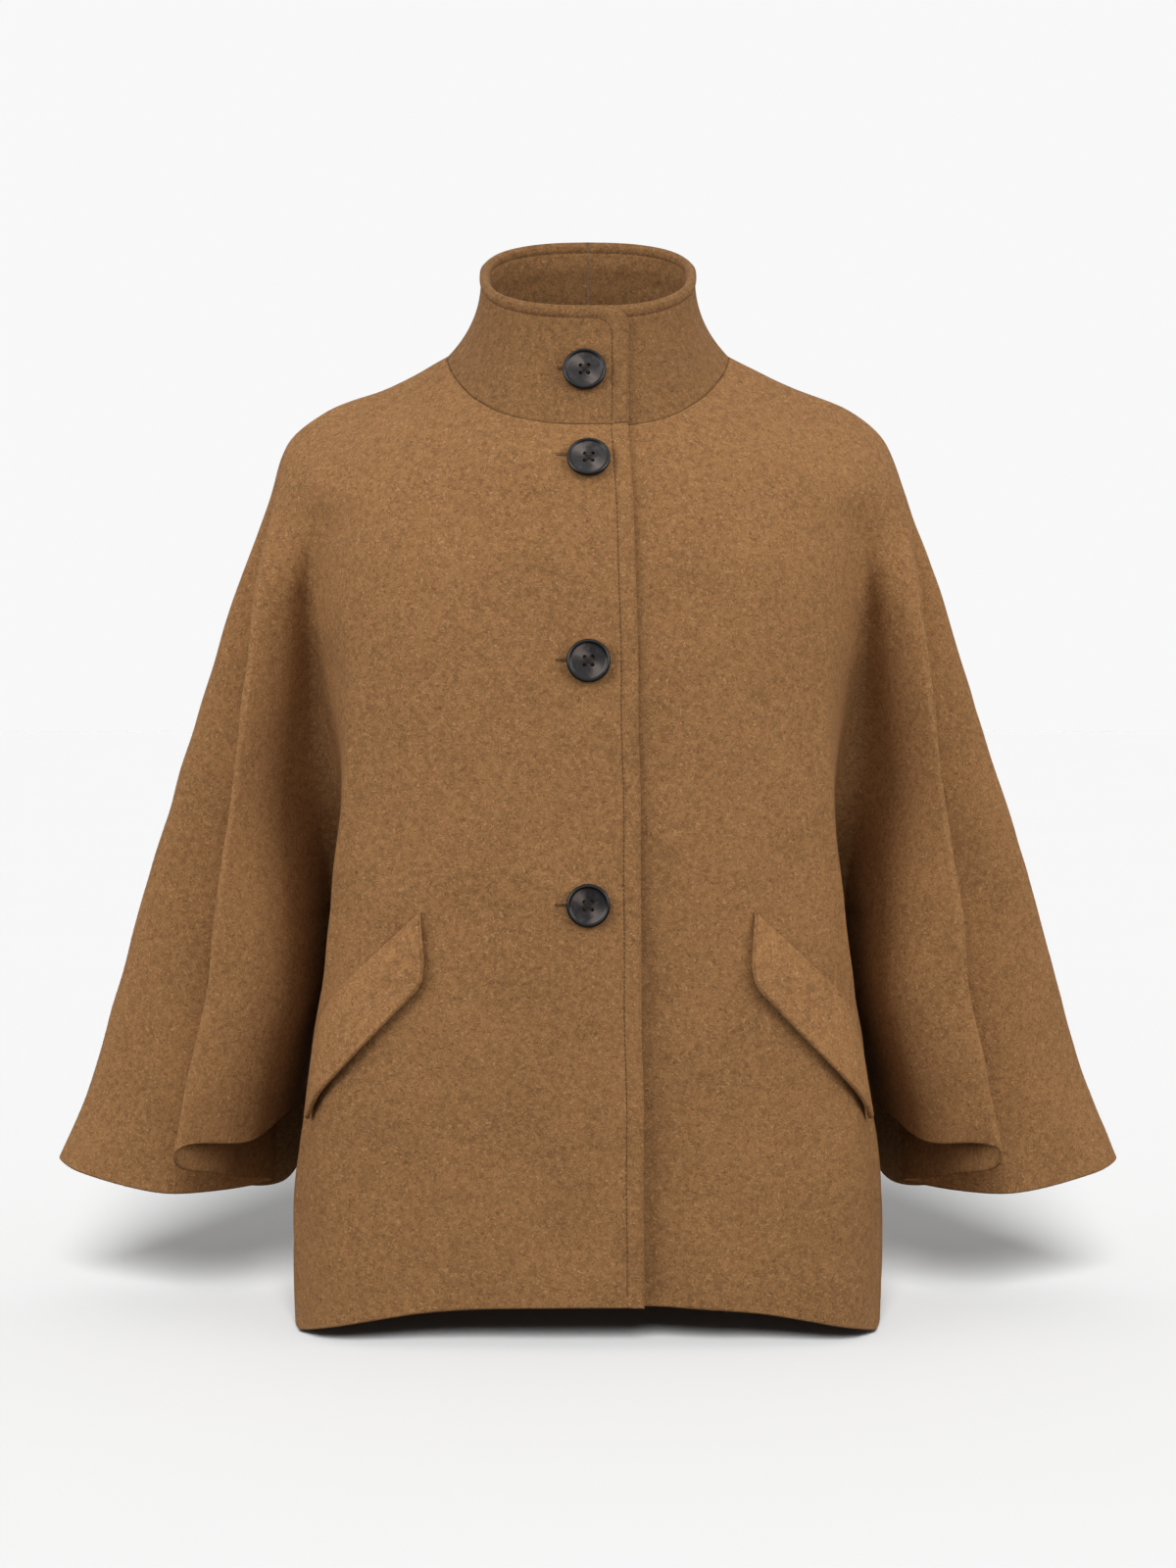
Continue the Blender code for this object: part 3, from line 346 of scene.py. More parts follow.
class Form:
    def __init__(self):
        self.lines = [self.line(index, name) for index, name in enumerate(STATIONS)]
        self.underarm = UPPER[-1]["at"]
        self.sections = {}

    def line(self, index, name):
        source = {"armfold": "fold", "armhollow": "hollow"}.get(name, name)
        sleeve = ARMFOLD <= index <= ARMHOLLOW
        floor_height = UPPER[-1]["z"][0]
        knots, points = [], []
        for row in UPPER:
            x, y = (0.0, row[name]) if name in ("front", "back") else row[source]
            if name in ("fold", "armfold", "armhollow", "hollow"):
                near, far = ("flank", "ridge") if source == "fold" else ("blade", "outer")
                way = unit(np.subtract(row[far], row[near]).astype(float))
                half = np.interp(row["at"], *zip(*NOTCH_HALF)) if source == "fold" else NOTCH_HALF[-1][1]
                way = way * half * (-1 if name in ("fold", "hollow") else 1)
                x, y = x + way[0], y + way[1]
            low, arm, high = row["z"]
            ahead = y < row["inner"][1]
            end = row["front"] if ahead else row["back"]
            share = (y - row["inner"][1]) / (end - row["inner"][1])
            knots.append(row["at"])
            points.append((x, y, arm + ((low if ahead else high) - arm) * share))
        for row in (SLEEVE if sleeve else BODY):
            key = "fold" if source == "hollow" else source
            x, y = (0.0, row[name]) if name in ("front", "back") else row[key]
            if sleeve:
                low = SLEEVE_HEM[name]
            else:
                middle = BODY_HEM["front" if index <= FOLD else "back"]
                low = middle + (BODY_HEM["side"] - middle) * min(1.0, x / BODY_HEM["half"]) ** 3
            knots.append(row["at"])
            points.append((x, y, floor_height + (low - floor_height) * row["part"]))
        knots = np.array(knots, float)
        points = np.array(points, float)
        return knots, points, slopes(knots, points)

    # Closed plan curve of one section: its knots, points and tangents
    def section(self, down, tube):
        key = (round(float(down), 6), tube)
        if key not in self.sections:
            points = np.array([along(*line, down)[0] for line in self.lines])
            shares = np.array([np.interp(down, *zip(*CORNERS[name])) if name in CORNERS else 0.0
                               for name in STATIONS])
            if down > self.underarm:
                points[[FOLD, ARMFOLD, ARMHOLLOW, HOLLOW], 1] = SEAM_DEPTH
            if tube == "body":
                points = np.vstack((points[:FOLD + 1], points[HOLLOW + 1:]))
                shares = np.concatenate((shares[:FOLD + 1], shares[HOLLOW + 1:]))
            if tube == "sleeve":
                points = points[ARMFOLD:ARMHOLLOW]
                points = np.vstack((points[-2:], points, points[:3]))
                shares = shares[ARMFOLD:ARMHOLLOW]
                shares = np.concatenate((shares[-2:], shares, shares[:3]))
            else:
                flip = np.array((-1.0, 1.0, 1.0))
                points = np.vstack((points[2] * flip, points[1] * flip, points, points[-2] * flip,
                                    points[-3] * flip))
                shares = np.concatenate((shares[2:0:-1], shares, shares[-2:-4:-1]))
            gaps = np.sqrt(np.maximum(np.linalg.norm(np.diff(points, axis=0), axis=1), 1e-6))
            knots = np.concatenate(([0.0], np.cumsum(gaps)))
            even = slopes(knots, points)
            rates = np.diff(points, axis=0) / gaps[:, None]
            leaving, meeting = even.copy(), even.copy()
            leaving[:-1] += shares[:-1, None] * (rates - even[:-1])
            meeting[1:] += shares[1:, None] * (rates - even[1:])
            self.sections[key] = (knots, points, leaving, meeting)
        return self.sections[key]

    def tube_at(self, down, tube):
        return "whole" if down <= self.underarm + 1e-6 else tube

    def points(self, stations, down, tube):
        tube = self.tube_at(down, tube)
        stations = np.atleast_1d(np.asarray(stations, float))
        sign = np.where((stations < 0) | (stations > BACK), -1.0, 1.0)
        folded = np.abs(stations)
        folded = np.where(folded > BACK, 2 * BACK - folded, folded)
        lead = 2
        place = folded + lead
        if tube == "body":
            place = np.where(folded >= HOLLOW, folded - HOLLOW + FOLD + lead, place)
        if tube == "sleeve":
            place = folded - ARMFOLD + lead
        knots, points, leaving, meeting = self.section(down, tube)
        i = np.clip(np.floor(place).astype(int), 0, len(knots) - 2)
        where = knots[i] + (place - i) * (knots[i + 1] - knots[i])
        found = along(knots, points, leaving, where, meeting)
        found[:, 0] *= sign
        if tube == "sleeve":
            share = (down - self.underarm) / (SLEEVE[-1]["at"] - self.underarm)
            found[:, 2] += hem_turn(folded) * smoothstep(share)
        return found

    # Outward directions, from steps along and down the cloth
    def normals(self, stations, down, tube, lowest):
        tube = self.tube_at(down, tube)
        stations = np.atleast_1d(np.asarray(stations, float))
        reach = 0.02
        low, high = stations - reach, stations + reach
        if tube == "sleeve":
            low = np.where(low < ARMFOLD, low + ARMHOLLOW - ARMFOLD, low)
            high = np.where(high > ARMHOLLOW, high + ARMFOLD - ARMHOLLOW, high)
        if tube == "body":
            high = np.where((stations <= FOLD) & (high > FOLD), high + HOLLOW - FOLD, high)
            low = np.where((stations >= HOLLOW) & (low < HOLLOW), low + FOLD - HOLLOW, low)
        top, bottom = max(0.0, down - 1.0), min(lowest, down + 1.0)
        if tube == "whole":
            bottom = min(bottom, self.underarm)
        else:
            top = max(top, self.underarm + 0.01)
        across = self.points(high, down, tube) - self.points(low, down, tube)
        fall = self.points(stations, bottom, tube) - self.points(stations, top, tube)
        return unit(np.cross(fall, across))

    # Distance down the cloth of a height on one station line
    def down_at(self, height, station=0.0, tube="body"):
        downs = np.linspace(0.0, BODY[-1]["at"], 200)
        heights = [self.points(station, down, tube)[0, 2] for down in downs]
        return float(np.interp(-height, -np.array(heights), downs))

    # Station that lies a distance out from the centre front
    def station_out(self, out, down, tube):
        steps = np.linspace(0.0, 2.0, 60)
        reach = self.points(steps, down, tube)[:, 0]
        return np.interp(out, reach, steps)


FORM = Form()


def lap_edge(height, lapped):
    if not lapped:
        return UNDER_EDGE
    levels = [row[0] for row in LAP_EDGE]
    straight = np.interp(height, levels, [row[1] for row in LAP_EDGE])
    return float(straight + 0.35 * math.sin(height / 31.0) + 0.25 * math.sin(height / 17.0 + 1.0))


def lap_step(out, lapped):
    fade = smoothstep((OVERLAP_FADE - out) / (OVERLAP_FADE - OVERLAP_FULL))
    return (OVERLAP_STEP if lapped else -OVERLAP_STEP) * fade


# Height of the cloth's own soft folds above its smooth form
def crease_height(stations, down, side):
    total = np.zeros(len(stations))
    for fold in CREASES:
        if fold["side"] != side:
            continue
        share = (down - fold["top"]) / (fold["end"] - fold["top"])
        strength = float(smoothstep(share * 1.6) * smoothstep((1.15 - share) * 4))
        line = fold["line"] + fold["drift"] * share
        total += fold["rise"] * strength * np.exp(-((stations - line) / fold["spread"]) ** 2)
    return total


def wave_height(points):
    total = np.zeros(len(points))
    for index, wave in enumerate(WAVES):
        way = unit(np.array(wave["way"], float))
        phase = points @ way * (2 * math.pi / wave["length"])
        swing = 1.3 * np.sin(points @ way[[1, 2, 0]] * (2 * math.pi / wave["length"]) * 0.6 + index)
        total += wave["height"] * np.sin(phase + swing + 1.7 * index)
    return total


# Collar surface: share 0 at the neck seam and 1 at the rim
def collar_points(stations, shares):
    neck = FORM.points(stations, 0.0, "whole")
    depth = np.where(neck[:, 1] < 0, -UPPER[0]["front"], UPPER[0]["back"])
    angle = np.arctan2(neck[:, 0] / UPPER[0]["inner"][0], -neck[:, 1] / depth)
    s, c = np.sin(angle), np.cos(angle)
    size = (np.abs(s) ** RIM_SQUARE + np.abs(c) ** RIM_SQUARE) ** (-1 / RIM_SQUARE)
    rim_y = -np.where(c > 0, RIM_FRONT, RIM_BACK) * c * size
    rim = np.stack((RIM_HALF * s * size, rim_y, RIM_LEVEL + RIM_TILT * rim_y), axis=1)
    flare = np.interp(np.abs(angle) / math.pi * 2, (0.0, 1.0, 2.0), COLLAR_FLARE)
    inward = 1 - np.maximum(0.0, 1 - shares) ** flare
    reach = np.stack((inward, inward, shares), axis=1)
    return neck + (rim - neck) * reach


def collar_normals(stations, shares):
    low, high = np.maximum(0.0, shares - 0.01), np.minimum(1.0, shares + 0.01)
    across = collar_points(stations + 0.02, shares) - collar_points(stations - 0.02, shares)
    rise = collar_points(stations, low) - collar_points(stations, high)
    return unit(np.cross(rise, across))


def neck_normals(stations):
    collar = collar_normals(stations, np.zeros(len(stations)))
    return unit(collar + FORM.normals(stations, 0.0, "whole", FORM.underarm))


# Sheet of cloth while it is laid out: grid points, directions, thickness to both sides and rounding
class Sheet:
    def __init__(self):
        self.index = {}
        self.rows = []
        self.faces = []

    def add_row(self, key, points, normals, front, behind, rounding):
        start = sum(len(row[0]) for row in self.rows)
        self.index[key] = np.arange(start, start + len(points))
        self.rows.append((points, normals, front, behind, rounding))

    def join(self, upper, lower):
        a, b = upper, lower
        self.faces.append(np.stack((a[:-1], a[1:], b[1:], b[:-1]), axis=1))

    # Closed mesh with softly rounded edges
    def mesh(self, name, side):
        points, normals, front, behind, rounding = [np.concatenate([row[k] for row in self.rows])
                                                    for k in range(5)]
        faces = np.concatenate(self.faces)
        used = np.unique(faces)
        renumber = np.full(len(points), -1)
        renumber[used] = np.arange(len(used))
        faces = renumber[faces]
        points, normals, front, behind, rounding = [a[used] for a in
                                                    (points, normals, front, behind, rounding)]
        edges = np.concatenate([np.stack((faces[:, k], faces[:, (k + 1) % 4]), axis=1) for k in range(4)])
        names = np.sort(edges, axis=1)
        _, first, counts = np.unique(names, axis=0, return_index=True, return_counts=True)
        border = edges[first[counts == 1]]
        outward = np.zeros_like(points)
        run = points[border[:, 1]] - points[border[:, 0]]
        for end in (0, 1):
            np.add.at(outward, border[:, end], np.cross(run, normals[border[:, end]]))
        rim = np.unique(border)
        outward[rim] = unit(outward[rim])
        centre_of_faces = points[faces].mean(axis=1)
        probe = np.zeros_like(points)
        np.add.at(probe, faces.ravel(), np.repeat(centre_of_faces, 4, axis=0) - points[faces.ravel()])
        if np.sum(outward[rim] * probe[rim]) > 0:
            outward = -outward
        core = points.copy()
        core[rim] -= outward[rim] * rounding[rim, None]
        count = len(points)
        outer = core + normals * front[:, None]
        inner = core - normals * behind[:, None]
        places = [outer, inner]
        steps = 5
        ring_of = np.full(count, -1)
        ring_of[rim] = np.arange(len(rim))
        middle = (front[rim] - behind[rim])[:, None] / 2
        half = (front[rim] + behind[rim])[:, None] / 2
        for k in range(1, steps):
            angle = math.pi * k / steps
            places.append(core[rim] + normals[rim] * (middle + half * math.cos(angle))
                          + outward[rim] * rounding[rim, None] * math.sin(angle))
        all_faces = [faces, faces[:, ::-1] + count]
        levels = [lambda v: v]
        levels += [(lambda v, k=k: 2 * count + k * len(rim) + ring_of[v]) for k in range(steps - 1)]
        levels += [lambda v: v + count]
        a, b = border[:, 0], border[:, 1]
        for upper, lower in zip(levels[:-1], levels[1:]):
            all_faces.append(np.stack((upper(b), upper(a), lower(a), lower(b)), axis=1))
        places = np.concatenate(places) * np.array((side, 1.0, 1.0)) * MM
        return closed_mesh(name, places, np.concatenate(all_faces))


def closed_mesh(name, places, faces):
    mesh = bpy.data.meshes.new(name)
    mesh.vertices.add(len(places))
    mesh.vertices.foreach_set("co", places.astype(np.float32).ravel())
    mesh.loops.add(faces.size)
    mesh.loops.foreach_set("vertex_index", faces.astype(np.int32).ravel())
    mesh.polygons.add(len(faces))
    mesh.polygons.foreach_set("loop_start", np.arange(0, faces.size, 4, dtype=np.int32))
    mesh.update(calc_edges=True)
    work = bmesh.new()
    work.from_mesh(mesh)
    bmesh.ops.recalc_face_normals(work, faces=work.faces)
    work.to_mesh(mesh)
    work.free()
    mesh.polygons.foreach_set("use_smooth", np.ones(len(mesh.polygons), bool))
    mesh.validate()
    return mesh


def place_piece(mesh, finish, slot, *nodes):
    piece = bpy.data.objects.new(mesh.name, mesh)
    bpy.context.scene.collection.objects.link(piece)
    piece.data.materials.append(finish)
    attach(piece, "root")
    if nodes:
        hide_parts(*nodes)
    return piece


# Height of a turned edge: puffed between the edge and its stitching, pressed in at the stitches
def turned_edge(distance, inset, puff):
    swell = puff * np.sin(math.pi * np.clip(distance / inset, 0, 1)) ** 0.7
    groove = GROOVE_DEPTH * np.exp(-((distance - inset) / GROOVE_WIDTH) ** 2)
    return swell - groove


# Distance from the stitch line of the collar's rim and front edge, in insets, rounded where the two meet
def corner_distance(from_edge, from_rim):
    ease = np.maximum(0.0, CORNER_EASE - np.abs(from_edge - from_rim))
    return np.minimum(from_edge, from_rim) - ease ** 2 / (4 * CORNER_EASE)


def down_rows(start, stop, count, first=(0,), last=(0,)):
    head = [start + step for step in first]
    tail = [stop - step for step in last]
    body = np.linspace(head[-1], tail[0], count)
    return np.concatenate((head[:-1], body, tail[1:]))


def spread(start, stop, count):
    return np.linspace(start, stop, count)


# One row of cloth: points and directions, stepped at the lap and lifted by its creases and waves
def cloth_row(stations, down, tube, lowest, side, lapped):
    points = FORM.points(stations, down, tube)
    normals = FORM.normals(stations, down, tube, lowest)
    if down == 0:
        normals = neck_normals(stations)
    step = np.zeros(len(stations))
    if lapped is not None:
        step = lap_step(points[:, 0], lapped)
    lift = crease_height(stations, down, side) + wave_height(points * np.array((side, 1, 1)))
    fade = float(smoothstep(down / 30.0))
    points = points + normals * (step + lift * fade)[:, None]
    return points, normals


def front_sheet(side, settings):
    lapped = side < 0
    sheet = Sheet()
    inset, puff = settings.stitch_inset / MM, settings.puff / MM
    front = spread(FRONT, FOLD, FRONT_COLUMNS)
    arm = spread(ARMFOLD, SEAM, ARM_COLUMNS)
    bridge = spread(FOLD, ARMFOLD, 4)[1:-1]

    def columns(down, tube):
        height = FORM.points(0.0, down, tube)[0, 2]
        edge = lap_edge(height, lapped)
        outs = np.concatenate((edge - np.array(PLACKET_COLUMNS), spread(edge - 21, 3.5, 5)))
        return -FORM.station_out(outs, down, tube), edge - outs

    def row(key, down, tube, lowest, with_body, with_arm):
        past, distance = columns(down, tube)
        parts = []
        if with_body:
            parts += [past, front]
        if with_body and with_arm:
            parts.append(bridge)
        if with_arm:
            parts.append(arm)
        stations = np.concatenate(parts)
        points, normals = cloth_row(stations, down, tube, lowest, side, lapped)
        thick = np.full(len(stations), CLOTH / 2)
        rounding = np.full(len(stations), 1.35)
        if with_body:
            edge_part = np.zeros(len(stations))
            edge_part[:len(past)] = turned_edge(distance, inset, puff)
            thick = thick + (edge_part if lapped else 0)
        if with_arm:
            rounding[-1] = 0.55
        if down == 0:
            rounding[:] = 0.6
        sheet.add_row(key, points, normals, thick, np.full(len(stations), CLOTH / 2), rounding)

    underarm = FORM.underarm
    uppers = down_rows(0.0, underarm, UPPER_ROWS, first=SEAM_ROWS)
    for r, down in enumerate(uppers):
        row(("upper", r), down, "whole", underarm, True, True)
        if r:
            sheet.join(sheet.index["upper", r - 1], sheet.index["upper", r])
    last = sheet.index["upper", len(uppers) - 1]
    body_count = len(last) - len(arm) - len(bridge)
    for tube, rows, first in (("body", BODY, last[:body_count]), ("sleeve", SLEEVE, last[-len(arm):])):
        end = rows[-1]["at"]
        count = BODY_ROWS if tube == "body" else SLEEVE_ROWS
        previous = first
        for r, down in enumerate(down_rows(underarm, end, count, last=HEM_ROWS)[1:]):
            row((tube, r), down, tube, end, tube == "body", tube == "sleeve")
            sheet.join(previous, sheet.index[tube, r])
            previous = sheet.index[tube, r]
    return sheet


def back_sheet():
    sheet = Sheet()
    arm = spread(SEAM, ARMHOLLOW, SLEEVE_BACK_COLUMNS)
    bridge = spread(ARMHOLLOW, HOLLOW, 4)[1:-1]
    blade = spread(HOLLOW, BACK, BLADE_COLUMNS)

    def row(key, stations, down, tube, lowest, sides):
        points, normals = [], []
        for side in sides:
            p, n = cloth_row(stations, down, tube, lowest, side, None)
            flip = np.array((side, 1.0, 1.0))
            order = slice(None) if side < 0 else slice(-2 if BACK in stations else None, None, -1)
            points.append((p * flip)[order])
            normals.append((n * flip)[order])
        points, normals = np.concatenate(points), np.concatenate(normals)
        if len(sides) == 2 and BACK in stations:
            middle = len(stations) - 1
            normals[middle, 0] = 0.0
            normals[middle] = unit(normals[middle])
        rounding = np.full(len(points), 1.35)
        if SEAM in stations:
            rounding[0] = 0.55
            rounding[-1] = 0.55
        if down == 0:
            rounding[:] = 0.6
        half = np.full(len(points), CLOTH / 2)
        sheet.add_row(key, points, normals, half, half, rounding)

    underarm = FORM.underarm
    uppers = down_rows(0.0, underarm, UPPER_ROWS, first=SEAM_ROWS)
    for r, down in enumerate(uppers):
        row(("upper", r), np.concatenate((arm, bridge, blade)), down, "whole", underarm, (-1, 1))
        if r:
            sheet.join(sheet.index["upper", r - 1], sheet.index["upper", r])
    last = sheet.index["upper", len(uppers) - 1]
    inset = len(arm) + len(bridge)
    downs = down_rows(underarm, BODY[-1]["at"], BODY_ROWS, last=HEM_ROWS)[1:]
    previous = last[inset:-inset]
    for r, down in enumerate(downs):
        row(("body", r), blade, down, "body", BODY[-1]["at"], (-1, 1))
        sheet.join(previous, sheet.index["body", r])
        previous = sheet.index["body", r]
    downs = down_rows(underarm, SLEEVE[-1]["at"], SLEEVE_ROWS, last=HEM_ROWS)[1:]
    for side in (-1, 1):
        previous = last[:len(arm)] if side < 0 else last[-len(arm):]
        for r, down in enumerate(downs):
            row(("sleeve", side, r), arm, down, "sleeve", SLEEVE[-1]["at"], (side,))
            sheet.join(previous, sheet.index["sleeve", side, r])
            previous = sheet.index["sleeve", side, r]
    return sheet


# Shares up the collar, finer at the neck seam, at the stitching and at the rim
def collar_shares(settings):
    inset = settings.rim_inset / MM
    near_rim = np.array((14, 11.8, 10.4, 9.7, 9.0, 8.3, 7.6, 6.4, 5.2, 3.9, 2.9, 0)) * inset / 9.0
    return np.concatenate(((0, 0.012, 0.028, 0.05), spread(0.08, 0.81, 20), 1 - near_rim / COLLAR_HEIGHT))


def collar_columns(side):
    lapped = side < 0
    reach = lap_edge(0.0, lapped)
    outs = np.concatenate((reach - np.array(PLACKET_COLUMNS), spread(reach - 20, 2.0, 4)))
    past = -FORM.station_out(outs, 0.0, "whole")
    return np.concatenate((past, spread(0, BACK, 96))), len(past)


# One upright row of the collar at a station: points and directions
def collar_column(station, shares, side, out_wanted):
    lapped = side < 0
    edge_out = lap_edge(0.0, lapped)
    heights = shares.copy()
    places = np.full(len(shares), station)
    if station < 0 and lapped:
        lean = 1 - (out_wanted / edge_out) ** 5 * (COLLAR_CORNER / COLLAR_HEIGHT)
        heights = shares * lean
    if station < 0:
        for _ in range(5):
            found = np.abs(collar_points(places, heights)[:, 0])
            places = places - (out_wanted - found) * abs(station) / out_wanted
    points = collar_points(places, heights)
    normals = collar_normals(places, heights)
    normals[0] = neck_normals(places[:1])[0]
    if station == BACK:
        normals[:, 0] = 0.0
        normals = unit(normals)
    step = lap_step(points[:, 0], lapped) * smoothstep((SEAM - station) / 3)
    return points + normals * step[:, None], normals


def collar_sheet(side, settings):
    lapped = side < 0
    sheet = Sheet()
    shares = collar_shares(settings)
    stations, past = collar_columns(side)
    inset, rim_inset = settings.stitch_inset / MM, settings.rim_inset / MM
    puff = settings.puff / MM
    edge_out = lap_edge(0.0, lapped)
    for c, station in enumerate(stations):
        out = float(FORM.points(abs(station), 0.0, "whole")[0, 0])
        points, normals = collar_column(station, shares, side, out)
        from_rim = (1 - shares) * COLLAR_HEIGHT
        from_edge = edge_out - out if c < past else edge_out + abs(out)
        distance = from_rim / rim_inset - 1
        if lapped:
            distance = corner_distance(from_edge / inset - 1, distance)
        turned = turned_edge((distance + 1) * rim_inset, rim_inset, puff * 1.4)
        thick = CLOTH / 2 + turned
        rounding = np.full(len(shares), 1.3)
        rounding[0] = 0.6
        rounding[-1] = 2.2
        if station == BACK:
            rounding[:] = 0.5
        if c == 0:
            rounding[:] = 1.3
        facing = COLLAR_FACING * smoothstep(from_rim / -FACING_RUN + 2.2) * smoothstep((station - 1.0) / 2.5)
        inside = turned_edge(from_rim, rim_inset, puff) * smoothstep((station - 1.0) / 1.5)
        behind = CLOTH / 2 + facing + inside
        sheet.add_row(c, points, normals, thick, behind, rounding)
        if c:
            sheet.join(sheet.index[c - 1], sheet.index[c])
    return sheet


# Station and distance down of a place given by girth from the centre front and height
class FrontMap:
    def __init__(self):
        self.stations = np.linspace(0, FOLD, 81)
        self.downs = np.linspace(300.0, BODY[-1]["at"], 110)
        grid = np.array([FORM.points(self.stations, down, "body") for down in self.downs])
        step = np.linalg.norm(np.diff(grid, axis=1), axis=2)
        self.girth = np.concatenate((np.zeros((len(grid), 1)), np.cumsum(step, axis=1)), axis=1)
        self.height = grid[:, :, 2]

    def find(self, girth, height):
        station = 2.0
        for _ in range(6):
            index = np.interp(station, self.stations, np.arange(len(self.stations)))
            low = int(min(math.floor(index), len(self.stations) - 2))
            share = index - low
            heights = self.height[:, low] * (1 - share) + self.height[:, low + 1] * share
            down = float(np.interp(-height, -heights, self.downs))
            level = np.interp(down, self.downs, np.arange(len(self.downs)))
            row = int(min(math.floor(level), len(self.downs) - 2))
            part = level - row
            girths = self.girth[row] * (1 - part) + self.girth[row + 1] * part
            station = float(np.interp(girth, girths, self.stations))
        return station, down


def flap_sheet(side):
    sheet = Sheet()
    finder = FrontMap()
    along_flap = np.concatenate(((0, 0.013), spread(0.024, 0.976, 48), (0.987, 1)))
    across_flap = np.concatenate((spread(0, 0.88, 22), (0.915, 0.945, 1.0)))
    sewn, free = np.array(FLAP_SEWN), np.array(FLAP_FREE)
    for r, q in enumerate(across_flap):
        bend = max(0.0, (q - (1 - FLAP_CORNER)) / FLAP_CORNER)
        inset = (1 - math.sqrt(max(0.0, 1 - bend * bend))) * FLAP_CORNER * FLAP_CORNER_WIDTH
        points, normals, outs = [], [], []
        for p in along_flap:
            share = inset + p * (1 - 2 * inset)
            girth, height = (sewn[0] * (1 - share) + sewn[1] * share) * (1 - q) \
                + (free[0] * (1 - share) + free[1] * share) * q
            station, down = finder.find(girth, height)
            point = FORM.points(station, down, "body")[0]
            normal = FORM.normals(station, down, "body", BODY[-1]["at"])[0]
            lift = crease_height(np.array([station]), down, side)[0]
            lift += wave_height(point[None] * (side, 1, 1))[0]
            crown = math.sin(math.pi * min(1.0, max(0.0, p))) ** 0.5
            points.append(point + normal * (lift + CLOTH / 2 + FLAP_CLEAR))
            normals.append(normal)
            outs.append((FLAP_LIFT + 1.9 * crown) * q ** 1.5 + 0.5 * crown * math.sin(math.pi * q) ** 0.6)
        points, normals, outs = np.array(points), np.array(normals), np.array(outs)
        thick = np.full(len(points), FLAP_CLOTH * (0.42 + 0.58 * smoothstep(q / 0.35)) / 2)
        centre = points + normals * (outs + thick)[:, None]
        rounding = np.full(len(points), 1.9)
        if q == 0:
            rounding[:] = 0.7
        sheet.add_row(r, centre, normals, thick, thick, rounding)
        if r:
            sheet.join(sheet.index[r - 1], sheet.index[r])
    return sheet


# Row of short raised stitches along a line of points
def stitch_mesh(name, points, normals, length, radius, sides=6, gap=0.22):
    run = np.concatenate(([0.0], np.cumsum(np.linalg.norm(np.diff(points, axis=0), axis=1))))
    count = max(1, int(run[-1] // length))
    profile = ((0.0, -0.45, 0.45), (0.12, 0.1, 0.85), (0.5, 0.5, 1.0), (0.88, 0.1, 0.85), (1.0, -0.45, 0.45))
    places, faces = [], []
    for k in range(count):
        starts = (k + gap / 2) * length + np.array([p[0] for p in profile]) * length * (1 - gap)
        centre = np.stack([np.interp(starts, run, points[:, a]) for a in range(3)], axis=1)
        up = unit(np.stack([np.interp(starts, run, normals[:, a]) for a in range(3)], axis=1))
        ahead = unit(centre[-1] - centre[0])
        across = unit(np.cross(up, ahead))
        for ring, (_, rise, size) in enumerate(profile):
            base = centre[ring] + up[ring] * rise * radius
            for s in range(sides):
                angle = 2 * math.pi * s / sides
                way = across[ring] * math.cos(angle) + up[ring] * math.sin(angle)
                places.append(base + way * radius * size)
        first = len(places) - sides * len(profile)
        for ring in range(len(profile) - 1):
            for s in range(sides):
                a = first + ring * sides + s
                b = first + ring * sides + (s + 1) % sides
                faces.append((a, b, b + sides, a + sides))
        faces.append([first + s for s in reversed(range(sides))])
        last = first + sides * (len(profile) - 1)
        faces.append([last + s for s in range(sides)])
    mesh = bpy.data.meshes.new(name)
    mesh.from_pydata([Vector(p) * MM for p in places], [], faces)
    mesh.polygons.foreach_set("use_smooth", np.ones(len(mesh.polygons), bool))
    mesh.update()
    return mesh


# Nap: length and width of its pale and dark fibres, how sharply they stand out, and their curl
LIGHT_FIBRE = (0.0056, 0.0010)
DARK_FIBRE = (0.0052, 0.0011)
DARK_FIBRE_TURN = 0.35
FIBRE_EDGE = (0.60, 0.74)
LIGHT_SHARE = 0.80
DARK_SHARE = 0.75
CURL_SCALE = 260.0
CURL_REACH = 0.0052
NAP_DEPTH = 0.00045
# Ground under the nap: its mottle, and slow clouds of a lighter tone
MOTTLE_SCALE = 210.0
GROUND_SHADOW = 0.68
CLOUD_SCALE = 14.0
CLOUD_SHARE = 0.30
CLOUD_LIGHT = 1.16
# Turns of the nap's fibre directions away from upright
NAP_TURNS = ((0.25, 0.2, 0.0), (0.5, 0.95, 0.4), (-0.6, -0.85, 0.2), (0.9, 1.5, -0.3))


# Wraps a shader socket, so that shader maths is written as plain sums
class Look:
    def __init__(self, tree, socket):
        self.tree = tree
        self.socket = socket

    def math(self, operation, *values):
        return add_node(self.tree, "ShaderNodeMath", dict(operation=operation), values)

    def __add__(self, other):
        return self.math("ADD", self, other)

    def __radd__(self, other):
        return self.math("ADD", other, self)

    def __sub__(self, other):
        return self.math("SUBTRACT", self, other)

    def __rsub__(self, other):
        return self.math("SUBTRACT", other, self)

    def __mul__(self, other):
        return self.math("MULTIPLY", self, other)

    def __rmul__(self, other):
        return self.math("MULTIPLY", other, self)

    def __truediv__(self, other):
        return self.math("DIVIDE", self, other)

    def __pow__(self, other):
        return self.math("POWER", self, other)

    def top(self, other):
        return self.math("MAXIMUM", self, other)

    def ramp(self, low, high):
        return add_node(self.tree, "ShaderNodeMapRange", dict(interpolation_type="SMOOTHSTEP", clamp=True),
                        {"Value": self, "From Min": low, "From Max": high})


